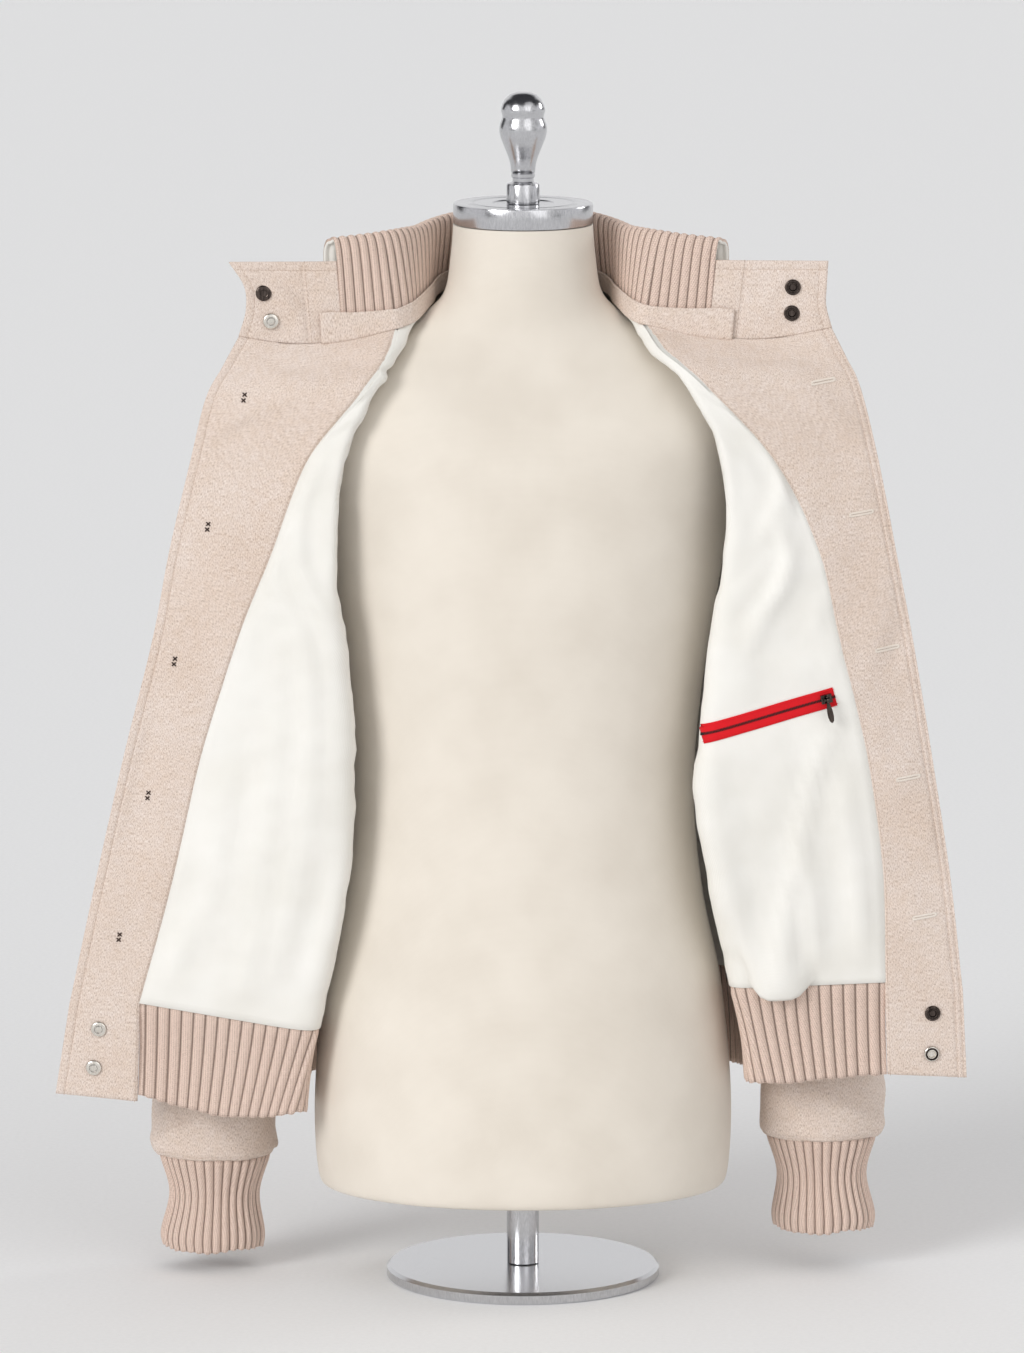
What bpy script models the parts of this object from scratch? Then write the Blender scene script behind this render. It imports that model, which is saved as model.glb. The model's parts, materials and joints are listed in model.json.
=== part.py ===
"""A wool blouson jacket, worn wide open on a limbless dress form.

Metres, +Z up. X runs to the picture's right and Y away from the viewer, and the origin is
under the middle of the stand. "left" and "right" in names are the picture's. Tables give
millimetres. Every cloth piece is a wall between two grids of points: rows go up the garment
and columns go round it, and each layer is made from its neighbour's points, moved inward.
"""
import math

import bmesh
import bpy
import numpy as np

MM = 0.001
SEAM = 0.0002               # each side of a seam, so that two pieces lie 0.4 mm apart
ARMHOLE_SEAM = 2.5 * SEAM
LAYER_GAP = 0.0003          # between a cloth and the layer on it
WOOL = 0.0018
FACING = 0.0016
LINING = 0.0011
STRETCH_STEPS = 20          # fine steps in each stretch of a row, before columns are picked
ROLL_SOFTENING = 18         # smoothing passes on a front's corners
NECK_SOFTENING = 400        # and on the line that the collar leans to
SIDE_CELLS, WING_CELLS, FACING_CELLS = 5, 5, 4
ROW_STEPS = 2               # grid rows for each row of the tables
BACK_CELLS = 16
PLACKET_CELLS = 3
LEFT, RIGHT = -1, 1
FACING_COL = SIDE_CELLS + WING_CELLS

# The fronts, hem first: x, y, z of the side or armhole edge, of the roll where the front
# turns outward, of the facing's inner edge, and of the front edge; then the sag between
# the last two.
FRONT_LEFT = [
    # side               roll               facing             edge               sag
    ((-178, 20, 226), (-160, -71, 213), (-306, -54, 235), (-362, -46, 233), 0),
    ((-177, 17, 333), (-139, -83, 330), (-278, -62, 337), (-340, -54, 335), 0),
    ((-182, 12, 437), (-134, -89, 437), (-255, -70, 437), (-317, -61, 435), 0),
    ((-193, 2, 545), (-141, -91, 532), (-225, -78, 532), (-293, -65, 530), 0),
    ((-202, -44, 612), (-144, -92, 604), (-197, -80, 604), (-279, -65, 602), 0),
    ((-208, -42, 680), (-139, -90, 676), (-169, -81, 676), (-262, -62, 673), 0),
    ((-221, 0, 742), (-119, -78, 731), (-128, -83, 728), (-250, -58, 721), 0),
    ((-150, 8, 770), (-100, -56, 758), (-107, -64, 756), (-237, -54, 746), 3),
    ((-76, 10, 790), (-89, -35, 780), (-100, -45, 776), (-224, -50, 770), 9),
]
FRONT_RIGHT = [
    ((178, 20, 245), (164, -71, 250), (289, -54, 252), (351, -46, 244), 0),
    ((177, 17, 340), (147, -82, 340), (286, -61, 343), (340, -53, 337), 0),
    ((182, 12, 440), (134, -89, 440), (272, -71, 440), (324, -61, 437), 0),
    ((193, 2, 548), (144, -92, 540), (250, -78, 532), (308, -65, 530), 0),
    ((204, -44, 615), (156, -92, 608), (232, -79, 606), (294, -65, 602), 0),
    ((210, -42, 683), (153, -89, 680), (197, -79, 676), (280, -62, 673), 0),
    ((224, 0, 744), (127, -79, 737), (143, -81, 735), (266, -58, 729), 0),
    ((152, 8, 770), (102, -56, 761), (112, -65, 760), (255, -54, 753), 4),
    ((76, 10, 790), (88, -32, 782), (96, -43, 779), (243, -50, 777), 11),
]
# The back, hem first: the armhole's back edge left and right (None where the back meets
# the front's side edge), y and z at the middle, and how square the row is.
BACK = [
    # left edge        right edge        middle y, z   power
    (None, None, 132, 236, 0.75),
    (None, None, 131, 338, 0.75),
    (None, None, 132, 440, 0.75),
    (None, None, 138, 546, 0.75),
    ((-204, 56, 615), (206, 56, 618), 139, 620, 0.85),
    ((-207, 58, 682), (209, 58, 685), 131, 692, 0.9),
    (None, None, 112, 746, 1.0),
    (None, None, 92, 778, 1.0),
    (None, None, 70, 803, 1.0),
]
UNDERARM_ROW, SHOULDER_ROW = 3 * ROW_STEPS, 6 * ROW_STEPS
PLACKET_FOOT = {LEFT: ((-309, -48, 154), (-374, -40, 159)),
                RIGHT: ((292, -48, 176), (355, -40, 172))}
# The lower edge of the rib hem: side, roll and placket points, then middle back.
HEM_FOOT = {LEFT: ((-182, 18, 150), (-173, -66, 146), (-308, -48, 159)),
            RIGHT: ((182, 18, 166), (180, -66, 172), (291, -48, 177))}
HEM_BACK_Y, HEM_BACK_Z, HEM_POWER = 128, 158, 0.75
HEM_DROOP = {LEFT: 0.008, RIGHT: 0.004}     # the rib hangs lower midway along each wing
HEM_BULGE = 0.002           # the rib swells out at half its height
HEM_RIBS, CUFF_RIBS, COLLAR_RIBS = 96, 22, 48
RIB_THICK, RIB_RAISE = 0.0024, 0.0007

# Sleeves from the armhole down: x at the body side and outer side, y front and back,
# z at the body side and outer side. Right sleeve: x mirrored, with its own lift.
SLEEVE = [
    # x in, x out, front, back, z in, z out
    (-199, -242, -50, 63, 534, 708),
    (-199, -266, -49, 72, 488, 606),
    (-197, -280, -42, 76, 436, 500),
    (-198, -292, -30, 76, 356, 386),
    (-200, -298, -20, 74, 272, 284),
    (-202, -297, -10, 72, 165, 166),
    (-200, -299, -8, 71, 108, 108),
    (-202, -297, -6, 69, 97, 97),
    (-205, -294, -3, 66, 94, 94),
]
SLEEVE_LIFT = {LEFT: 0.0, RIGHT: 0.016}     # the right sleeve ends this much higher
RIGHT_SLEEVE_IN = -0.008                    # and hangs this much nearer the body at the wrist
SLEEVE_SHIFT_TOP, SLEEVE_SHIFT_FOOT = 0.55, 0.10    # heights between which that shift grows
CUFF = [
    # x in, x out, front, back, z
    (-206, -293, -3, 65, 93.4),
    (-215, -285, 4, 59, 62),
    (-211, -292, 1, 62, 30),
    (-212, -291, 2, 61, 18),
]
CUFF_THICK, CUFF_RAISE = 0.0028, 0.0011
CUFF_RAISE_SHARES = (0.5, 1, 1, 0.8)        # how far the ribs stand up in each ring

# Collar: the neckline's share where the tabs end and the band starts, and its top.
TAB_END_X = {LEFT: -0.142, RIGHT: 0.146}
BAND_END_X = {LEFT: -0.159, RIGHT: 0.165}
TAB_TOP = {LEFT: 0.829, RIGHT: 0.830}
TAB_EDGE = {LEFT: (0.0, 5.5, 4.5, -7.5), RIGHT: (0.0, -4.5, -4.0, -3.0)}  # mm, foot to top
TAB_THICK = 0.0026
COLLAR_LIFT = 0.0007        # the collar's foot above the neck seam
TAB_CELLS, TAB_ROWS = 6, 3
COLLAR_TOP_END, COLLAR_TOP_NECK, COLLAR_TOP_BACK = 0.8445, 0.8500, 0.8580
COLLAR_DROP_FROM, COLLAR_DROP_OVER = 0.085, 0.065   # from the middle out, it falls to its end
COLLAR_RISE_OVER = 0.07                             # toward the back, it rises
BAND_HIGH_END, BAND_HIGH_NECK = 0.024, 0.015
BAND_LOW_FROM, BAND_LOW_OVER = 0.150, 0.050     # from its ends in, it gets narrower
BAND_THICK = 0.0016
BAND_OFFSET = 0.0040        # in front of the rib's inner leg and of the tabs
BAND_CELLS = 52
NECK_STEPS = 241
# The doubled rib, from the outer foot over the fold to the inner foot: offset from the
# neckline toward the wearer's neck in mm, share of the height, and how far its ends reach
# past the tabs' ends in mm.
COLLAR_FOLD = [
    (-3.4, 0.0, 10),
    (-11.0, 0.84, 10),
    (-6.0, 1.0, 4),
    (0.2, 0.90, 0),
    (1.0, 0.0, 0),
]

# The dress form: z, half width, half depth.
FORM = [
    (75, 140, 92),
    (77, 154, 105),
    (86, 165, 116),
    (150, 168, 119),
    (240, 160, 114),
    (320, 144, 107),
    (400, 137, 104),
    (480, 143, 108),
    (575, 158, 114),
    (665, 176, 110),
    (700, 181, 98),
    (722, 176, 84),
    (743, 156, 71),
    (757, 128, 63),
    (771, 98, 59),
    (787, 74, 57.5),
    (802, 62, 56.5),
    (830, 57.5, 55.5),
    (854, 55.5, 55),
]
FORM_SIDES = 24
# Turned metal: radius and height in mm, from the axis under the piece to the axis on top.
NECK_PLATE = [(0, 854.4), (54, 854.4), (55.5, 856), (55.5, 869.5), (54, 871), (41, 871),
              (40, 870.2), (39, 871), (25, 871), (24, 870), (0, 870)]
FINIAL = [(0, 870.4), (13.2, 870.4), (13.2, 886), (8.4, 887.8), (8.4, 891.5), (9.8, 892.8),
          (9.8, 901), (12, 908), (15.3, 916), (18.3, 924), (18.9, 930), (16.5, 939),
          (17.5, 944.5), (15.3, 952), (9.5, 957.6), (0, 959)]
BASE_PLATE = [(0, 0), (108, 0), (110, 2), (110, 7), (107, 10), (0, 10)]
POLE = [(0, 10.4), (13, 10.4), (13, 74.6), (0, 74.6)]
TURN_SIDES, FINIAL_SIDES, BASE_SIDES, POLE_SIDES = 24, 20, 36, 16
SHARP_ANGLE = 35

SNAP_CAP = [(0, 0), (5.8, 0), (6.2, 0.8), (5.2, 1.8), (0, 2.1)]
SNAP_SOCKET = [(0, 0), (6.1, 0), (6.3, 0.9), (5.2, 1.9), (3.4, 1.9), (3.0, 1.0), (0, 1.0)]
BUTTON = [(0, 0), (3.2, 0), (3.2, 1.0), (10.0, 1.4), (9.4, 4.0), (0, 4.0)]
SMALL_SIDES = 12
FIND_STEPS, FEEL_STEPS = 16, 10      # places tried in each grid cell
SNAP_REACH = 0.0066         # how far out a snap lies on the cloth
BUTTON_FOOT, BUTTON_REACH, BUTTON_FLANGE = 0.0036, 0.0105, 0.0010
# Fastenings: x and z in mm; each one sits where the cloth passes that place.
HEM_SNAPS = {LEFT: ((-339, 213), (-344, 181)), RIGHT: ((327, 225), (327, 192))}
TAB_SNAPS = {LEFT: ((-205, 805), (-199, 783)), RIGHT: ((213, 810), (212, 789))}
BUTTONS = ((-220, 724), (-249, 622), (-276, 514), (-298, 405), (-322, 289))

# The inner pocket's zip on the right lining: its two ends and widths.
ZIP_START, ZIP_END = (152, 464), (246, 487)
ZIP_WIDE, ZIP_THICK = 0.0150, 0.0009
ZIP_REACH = 0.75 * ZIP_WIDE
ZIP_CELLS = 8
SLIDER_BACK = 0.0070        # from the zip's end to the slider's middle
SLIDER_WIDE, SLIDER_LONG, SLIDER_THICK = 0.0070, 0.0090, 0.0028
BRIDGE_BAR, BRIDGE_LONG, BRIDGE_RISE = 0.0014, 0.0056, 0.0032
POST_LONG, POST_OUT, POST_SUNK = 0.0012, 0.0022, 0.0005
PULL_LONG, PULL_WIDE, PULL_THICK = 0.0215, 0.0058, 0.0014
PULL_SIDES, EYE_RADIUS, EYE_OUTER = 14, 0.00125, 0.0025
PULL_TAPER = 0.2            # how much narrower the pull is at its upper end

COLOURS = {
    # base colour, roughness, metallic
    "wool": ((0.72, 0.61, 0.54), 0.95, 0.0),
    "rib": ((0.56, 0.43, 0.36), 0.95, 0.0),
    "lining": ((0.90, 0.89, 0.85), 0.6, 0.0),
    "form": ((0.89, 0.84, 0.74), 0.8, 0.0),
    "steel": ((0.62, 0.62, 0.64), 0.25, 1.0),
    "dark": ((0.05, 0.05, 0.05), 0.2, 1.0),
    "silver": ((0.80, 0.78, 0.74), 0.25, 1.0),
    "horn": ((0.25, 0.16, 0.10), 0.4, 0.0),
    "tape": ((0.68, 0.02, 0.03), 0.8, 0.0),
}


def clear_scene():
    for old in list(bpy.data.objects):
        bpy.data.objects.remove(old, do_unlink=True)


def material(key):
    if key in bpy.data.materials:
        return bpy.data.materials[key]
    colour, roughness, metallic = COLOURS[key]
    made = bpy.data.materials.new(key)
    made.use_nodes = True
    shader = made.node_tree.nodes["Principled BSDF"]
    shader.inputs["Base Color"].default_value = (*colour, 1.0)
    shader.inputs["Roughness"].default_value = roughness
    shader.inputs["Metallic"].default_value = metallic
    return made


def add_mesh(name, points, faces, key):
    """Make one object from its points and faces, with the faces turned outward."""
    mesh = bpy.data.meshes.new(name)
    mesh.from_pydata([tuple(p) for p in points], [], faces)
    work = bmesh.new()
    work.from_mesh(mesh)
    bmesh.ops.recalc_face_normals(work, faces=work.faces[:])
    work.to_mesh(mesh)
    work.free()
    mesh.materials.append(material(key))
    made = bpy.data.objects.new(name, mesh)
    bpy.context.scene.collection.objects.link(made)
    return made


def unit(v):
    return v / np.maximum(np.linalg.norm(v, axis=-1, keepdims=True), 1e-12)


def wall(name, outer, inner, key, cells=None, wrap=False):
    """Close the space between two grids of points into one solid.

    cells marks the grid cells that are cloth, and wrap joins the last column to the first.
    Both sides split each cell along the same diagonal, and a rim's cells split by their
    order in the grid, so layers and neighbours stay parallel.
    """
    rows, cols = outer.shape[:2]
    across = cols if wrap else cols - 1
    cells = np.ones((rows - 1, across), bool) if cells is None else cells
    points, index = [], {}

    def corner(side, i, j):
        key_ = (side, i, j % cols)
        if key_ not in index:
            index[key_] = len(points)
            points.append((outer, inner)[side][i, j % cols])
        return index[key_]

    def is_cloth(i, j):
        if wrap:
            j %= across
        return 0 <= i < rows - 1 and 0 <= j < across and cells[i, j]

    faces = []
    for i, j in zip(*np.nonzero(cells)):
        a, b, c, d = (i, j), (i, j + 1), (i + 1, j + 1), (i + 1, j)
        for side in (0, 1):
            for tri in ((a, b, c), (a, c, d)):
                corners = [corner(side, *p) for p in tri]
                faces.append(corners if side == 0 else corners[::-1])
        for near, p, q in (((i - 1, j), a, b), ((i, j + 1), b, c),
                           ((i + 1, j), c, d), ((i, j - 1), d, a)):
            if is_cloth(*near):
                continue
            if p < q:
                faces.append([corner(0, *q), corner(0, *p), corner(1, *q)])
                faces.append([corner(0, *p), corner(1, *p), corner(1, *q)])
            else:
                faces.append([corner(0, *q), corner(0, *p), corner(1, *p)])
                faces.append([corner(0, *q), corner(1, *p), corner(1, *q)])
    return add_mesh(name, points, faces, key)


def through(keys, steps):
    """Smooth curve through rows of key points, with steps pieces between two of them."""
    keys = np.asarray(keys, float)
    ends = np.concatenate([2 * keys[:1] - keys[1:2], keys, 2 * keys[-1:] - keys[-2:-1]])
    made = []
    for k in range(1, len(ends) - 2):
        p0, p1, p2, p3 = ends[k - 1:k + 3]
        for t in np.arange(steps) / steps:
            made.append(0.5 * (2 * p1 + (p2 - p0) * t + (2 * p0 - 5 * p1 + 4 * p2 - p3) * t ** 2
                               + (3 * p1 - 3 * p2 + p3 - p0) * t ** 3))
    made.append(keys[-1])
    return np.array(made)


def soften(line, passes, weight):
    """Round a fine line's corners where weight is 1, keeping its ends."""
    smooth = line.copy()
    for _ in range(passes):
        smooth[1:-1] = (smooth[:-2] + 2 * smooth[1:-1] + smooth[2:]) / 4
    return line + (smooth - line) * weight[:, None]


def front_row(side, roll, facing, edge, sag):
    """Points of one row of a front, from the side seam round the roll to the front edge."""
    fine = STRETCH_STEPS
    keys = [np.array(p, float) * MM for p in (side, roll, facing, edge)]
    line = [keys[0]]
    for start, end in zip(keys, keys[1:]):
        line += [start + (end - start) * t for t in np.arange(1, fine + 1) / fine]
    line = np.array(line)
    span = np.linspace(0, 1, fine + 1)
    line[2 * fine:, 2] -= sag * MM * np.sin(math.pi * span)
    weight = np.ones(len(line))
    half_way = 3 * fine // 2
    weight[half_way:2 * fine + 1] = np.linspace(1, 0, 2 * fine + 1 - half_way)
    weight[2 * fine:] = 0
    line = soften(line, ROLL_SOFTENING, weight)
    picks = [k * fine // SIDE_CELLS for k in range(SIDE_CELLS)]
    picks += [fine + k * fine // WING_CELLS for k in range(WING_CELLS)]
    picks += [2 * fine + k * fine // FACING_CELLS for k in range(FACING_CELLS + 1)]
    return line[picks]


def back_row(left, right, middle_y, middle_z, power, cells=BACK_CELLS):
    """Points of one row of the back, from the left edge round to the right edge."""
    left, right = np.array(left, float), np.array(right, float)
    made = []
    for t in np.linspace(0, math.pi, cells + 1):
        rise = abs(math.sin(t)) ** power
        end = left if t < math.pi / 2 else right
        x = end[0] * abs(math.cos(t)) ** power
        base = left + (right - left) * (t / math.pi)
        made.append((x, base[1] + (middle_y - base[1]) * rise,
                     base[2] + (middle_z - base[2]) * rise))
    made[0], made[-1] = tuple(left), tuple(right)
    return np.array(made) * MM


def inward(grid, sign, wrap=False):
    """Unit vectors at a grid's points that point into the garment."""
    up = np.gradient(grid, axis=0)
    if wrap:
        round_ = (np.roll(grid, -1, axis=1) - np.roll(grid, 1, axis=1)) / 2
    else:
        round_ = np.gradient(grid, axis=1)
    return unit(np.cross(round_, up)) * sign


def fold(grid, normal, folds, keep):
    """Move a grid's points along its normals by soft folds, given in its own sizes.

    Each fold is (column, row, column, row, depth, width): its two ends in grid steps, depth
    in mm and half width in columns. keep fades the folds out at borders.
    """
    rows, cols = grid.shape[:2]
    j, i = np.meshgrid(np.arange(cols, dtype=float), np.arange(rows, dtype=float))
    shift = np.zeros((rows, cols))
    for c0, r0, c1, r1, depth, width in folds:
        along = np.array([c1 - c0, r1 - r0], float)
        share = ((j - c0) * along[0] + (i - r0) * along[1]) / (along @ along)
        share = np.clip(share, 0, 1)
        away = np.hypot(j - c0 - share * along[0], (i - r0 - share * along[1]))
        swell = np.sin(math.pi * (FOLD_START + (1 - 2 * FOLD_START) * share))
        shift += depth * MM * swell * np.exp(-(away / width) ** 2)
    return grid + normal * (shift * keep)[..., None]


def fade(rows, cols, left, right, foot, top):
    """Share that falls to zero at the chosen borders of a grid."""
    j = np.arange(cols)
    i = np.arange(rows)
    across = np.ones(cols)
    if left:
        across *= np.clip(j / left, 0, 1)
    if right:
        across *= np.clip((cols - 1 - j) / right, 0, 1)
    up = np.ones(rows)
    if foot:
        up *= np.clip(i / foot, 0, 1)
    if top:
        up *= np.clip((rows - 1 - i) / top, 0, 1)
    return up[:, None] * across[None, :]


def trimmed(grid, left=0.0, right=0.0, foot=0.0, top=0.0):
    """Pull a grid's borders in by the given lengths."""
    made = grid.copy()
    if left:
        made[:, 0] += unit(grid[:, 1] - grid[:, 0]) * left
    if right:
        made[:, -1] += unit(grid[:, -2] - grid[:, -1]) * right
    if foot:
        made[0] += unit(grid[1] - grid[0]) * foot
    if top:
        made[-1] += unit(grid[-2] - grid[-1]) * top
    return made


def body_surfaces():
    """The outer surfaces of both fronts and the back, sharing their seams."""
    fronts = {}
    for side, table in ((LEFT, FRONT_LEFT), (RIGHT, FRONT_RIGHT)):
        keys = np.array([front_row(*row) for row in table])
        fronts[side] = through(keys, ROW_STEPS)
    rows = []
    for k, (left, right, middle_y, middle_z, power) in enumerate(BACK):
        left = FRONT_LEFT[k][0] if left is None else left
        right = FRONT_RIGHT[k][0] if right is None else right
        rows.append(back_row(left, right, middle_y, middle_z, power))
    back = through(np.array(rows), ROW_STEPS)
    last = len(back)
    seam = [k for k in range(last) if k <= UNDERARM_ROW or k >= SHOULDER_ROW]
    back[seam, 0] = fronts[LEFT][seam, 0]
    back[seam, -1] = fronts[RIGHT][seam, 0]
    return fronts, back, seam


def body_normals(fronts, back, seam):
    """Inward directions, averaged where a front meets the back.

    No layer dips under the hem seam or rises over the neck seam.
    """
    normals = {side: inward(fronts[side], side) for side in fronts}
    back_in = inward(back, 1)
    for side, col in ((LEFT, 0), (RIGHT, -1)):
        shared = unit(normals[side][seam, 0] + back_in[seam, col])
        normals[side][seam, 0] = shared
        back_in[seam, col] = shared
    for grid_in in (*normals.values(), back_in):
        grid_in[0, :, 2] = np.maximum(grid_in[0, :, 2], 0)
        grid_in[-1, :, 2] = np.minimum(grid_in[-1, :, 2], 0)
        grid_in[[0, -1]] = unit(grid_in[[0, -1]])
    return normals, back_in


def with_placket(side, grid, normal):
    """Add the rows under the hem seam, which only the facing's columns use."""
    foot = np.array(PLACKET_FOOT[side], float) * MM
    share = np.linspace(0, 1, FACING_CELLS + 1)[:, None]
    low = grid[0].copy()
    low[FACING_COL:] = foot[0] + (foot[1] - foot[0]) * share
    extra = [low + (grid[0] - low) * t for t in np.arange(PLACKET_CELLS) / PLACKET_CELLS]
    whole = np.concatenate([np.array(extra), grid])
    return whole, np.concatenate([np.repeat(normal[:1], PLACKET_CELLS, axis=0), normal])


FOLD_START = 0.15           # a fold starts and ends at this share of its sine
FRONT_FOLDS = {
    # column, row, column, row, depth mm, half width in columns
    LEFT: ((11.0, 15.0, 12.6, 8.0, 2.4, 1.0), (8.0, 13.5, 9.2, 9.0, 2.2, 1.0),
           (12.8, 10.0, 13.2, 4.0, -1.6, 0.8)),
    RIGHT: ((10.4, 15.0, 11.6, 10.0, 2.6, 1.0), (12.6, 12.0, 12.2, 6.0, -1.8, 0.9)),
}
LINING_FOLDS = {
    LEFT: ((7.0, 12.0, 7.4, 3.0, 3.2, 0.8), (8.6, 7.0, 8.8, 1.6, 2.4, 0.7),
           (6.0, 7.0, 6.4, 1.6, 2.6, 0.7)),
    RIGHT: ((8.8, 4.4, 7.2, 1.2, 5.5, 0.8), (7.6, 13.0, 8.0, 7.0, 3.0, 0.7),
            (6.2, 4.2, 7.0, 1.2, 3.4, 0.7)),
}


def make_fronts(fronts, normals):
    """Wool fronts with their placket, the facings and the linings laid on them."""
    layers = {}
    for side, word in ((LEFT, "left"), (RIGHT, "right")):
        grid, normal = fronts[side], normals[side]
        rows, cols = grid.shape[:2]
        grid = fold(grid, normal, FRONT_FOLDS[side], fade(rows, cols, 2, 1, 2, 2))
        tall, tall_in = with_placket(side, grid, normal)
        cells = np.ones((len(tall) - 1, cols - 1), bool)
        cells[:PLACKET_CELLS, :FACING_COL] = False
        wool = trimmed(tall, left=SEAM, top=SEAM)
        wool[PLACKET_CELLS, :FACING_COL] += (0, 0, SEAM)
        wall("front_" + word, wool, wool + tall_in * WOOL, "wool", cells)

        base = WOOL + LAYER_GAP
        strip, strip_in = tall[:, FACING_COL:], tall_in[:, FACING_COL:]
        strip = trimmed(strip, left=SEAM, top=SEAM)
        wall("facing_" + word, strip + strip_in * base, strip + strip_in * (base + FACING),
             "wool")
        layers["facing", side] = (strip + strip_in * (base + FACING), strip_in)

        body, body_in = grid[:, :FACING_COL + 1], normal[:, :FACING_COL + 1]
        body = trimmed(body, left=SEAM, right=2 * SEAM, foot=SEAM, top=SEAM)
        under = body + body_in * base
        puffed = fold(under, body_in, LINING_FOLDS[side],
                      fade(rows, FACING_COL + 1, 2, 1, 1, 1))
        wall("lining_" + word, puffed, puffed + body_in * LINING, "lining")
        layers["lining", side] = (puffed + body_in * LINING, body_in)
        layers["wool", side] = (wool, tall_in)
    return layers


def make_back(back, back_in):
    grid = trimmed(back, left=SEAM, right=SEAM, foot=SEAM, top=SEAM)
    wall("back", grid, grid + back_in * WOOL, "wool")


def ring(x_in, x_out, front, back, z_in, z_out, count):
    """One level ring of a sleeve: body side first, then front, outside and back."""
    turn = np.arange(count) * 2 * math.pi / count
    across, deep = np.cos(turn), np.sin(turn)
    x = (x_in + x_out) / 2 + (x_in - x_out) / 2 * across
    y = (front + back) / 2 - (back - front) / 2 * deep
    z = (z_in + z_out) / 2 + (z_in - z_out) / 2 * across
    return np.stack([x, y, z], axis=1) * MM


def armhole(front, back, col):
    """The armhole's points: underarm, up the front, shoulder, down the back."""
    up = front[UNDERARM_ROW:SHOULDER_ROW + 1, 0]
    down = back[UNDERARM_ROW + 1:SHOULDER_ROW, col][::-1]
    loop = np.concatenate([up, down])
    after = np.roll(loop, -1, axis=0)
    return np.stack([loop, (loop + after) / 2], axis=1).reshape(-1, 3)


def side_rings(table, side, count, flat=False):
    """Rings of a sleeve or cuff, placed on their own side of the body."""
    made = []
    for row in table:
        row = (*row[:4], row[4], row[4]) if flat else row
        points = ring(*row, count)
        drop = ((SLEEVE_SHIFT_TOP - points[:, 2])
                / (SLEEVE_SHIFT_TOP - SLEEVE_SHIFT_FOOT)).clip(0, 1)
        if side == RIGHT:
            points[:, 0] = -points[:, 0] + RIGHT_SLEEVE_IN * drop
        points[:, 2] += SLEEVE_LIFT[side] * drop
        made.append(points)
    return np.array(made)


def make_sleeves(fronts, back):
    for side, word, col in ((LEFT, "left", 0), (RIGHT, "right", -1)):
        loop = armhole(fronts[side], back, col)
        count = len(loop)
        start = loop + np.array((side * ARMHOLE_SEAM, 0, 0))
        rings = np.concatenate([start[None], side_rings(SLEEVE, side, count)])
        middle = rings.mean(axis=1, keepdims=True)
        normal = inward(rings, 1, wrap=True)
        normal *= np.sign(np.sum(normal * (middle - rings), axis=2, keepdims=True))
        flat_in = middle[0] - rings[0]
        flat_in[:, 0] = 0
        normal[0] = unit(flat_in)
        wall("sleeve_" + word, rings, rings + normal * WOOL, "wool", wrap=True)


def make_cuffs():
    for side, word in ((LEFT, "left"), (RIGHT, "right")):
        count = 2 * CUFF_RIBS
        rings = side_rings(CUFF, side, count, flat=True)
        middle = rings.mean(axis=1, keepdims=True)
        out = rings - middle
        out[..., 2] = 0
        out = unit(out)
        raise_ = np.where(np.arange(count) % 2 == 0, CUFF_RAISE, 0.0)
        share = np.array(CUFF_RAISE_SHARES)[:, None]
        wall("cuff_" + word, rings + out * (share * raise_)[..., None],
             rings - out * CUFF_THICK, "rib", wrap=True)


def walk(line, count):
    """Points at equal lengths along a line of points."""
    steps = np.linalg.norm(np.diff(line, axis=0), axis=1)
    length = np.concatenate([[0], np.cumsum(steps)])
    at = np.linspace(0, length[-1], count)
    return np.stack([np.interp(at, length, line[:, k]) for k in range(3)], axis=1)


def level_inward(line):
    """Level unit vectors beside a line that runs from left to right round the back."""
    along = np.gradient(line, axis=0)
    return unit(np.stack([along[:, 1], -along[:, 0], np.zeros(len(line))], axis=1))


def ribbed(count, thick, rise):
    """Thickness each side of a rib wall's middle: proud on every other column."""
    crest = np.arange(count) % 2 == 0
    return np.where(crest, thick / 2 + rise, thick / 2)


def make_hem(fronts, back):
    """The rib hem, from one placket round the back to the other, with ribs on both faces."""
    top = np.concatenate([fronts[LEFT][0, FACING_COL:0:-1], back[0],
                          fronts[RIGHT][0, 1:FACING_COL + 1]])
    feet = {}
    for side in (LEFT, RIGHT):
        keys = HEM_FOOT[side]
        edge = PLACKET_FOOT[side][1]
        feet[side] = front_row(*keys, edge, 0)
        droop = np.sin(math.pi * np.linspace(0, 1, WING_CELLS + 1)) * HEM_DROOP[side]
        feet[side][SIDE_CELLS:FACING_COL + 1, 2] -= droop
    foot_back = back_row(HEM_FOOT[LEFT][0], HEM_FOOT[RIGHT][0], HEM_BACK_Y, HEM_BACK_Z,
                         HEM_POWER)
    foot = np.concatenate([feet[LEFT][FACING_COL:0:-1], foot_back,
                           feet[RIGHT][1:FACING_COL + 1]])
    count = 2 * HEM_RIBS + 1
    top, foot = walk(top, count), walk(foot, count)
    out = -level_inward((top + foot) / 2)
    top = top - np.array((0, 0, 2 * SEAM))
    top += out * -WOOL / 2
    foot += out * -WOOL / 2
    middle = (top + foot) / 2 + out * HEM_BULGE
    rows = np.array([foot, middle, top])
    rows = trimmed(rows, left=2 * SEAM, right=2 * SEAM)
    half = ribbed(count, RIB_THICK, RIB_RAISE)[None, :, None]
    wall("hem_rib", rows + out[None] * half, rows - out[None] * half, "rib")


def neckline(fronts, back):
    """The neck seam from the left front edge round the back to the right front edge.

    Gives the seam itself and a softer line over it, which the collar leans to as it rises.
    """
    line = np.concatenate([fronts[LEFT][-1, :0:-1], back[-1], fronts[RIGHT][-1, 1:]])
    seam = walk(line, NECK_STEPS)
    return seam, soften(seam, NECK_SOFTENING, np.ones(NECK_STEPS))


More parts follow.
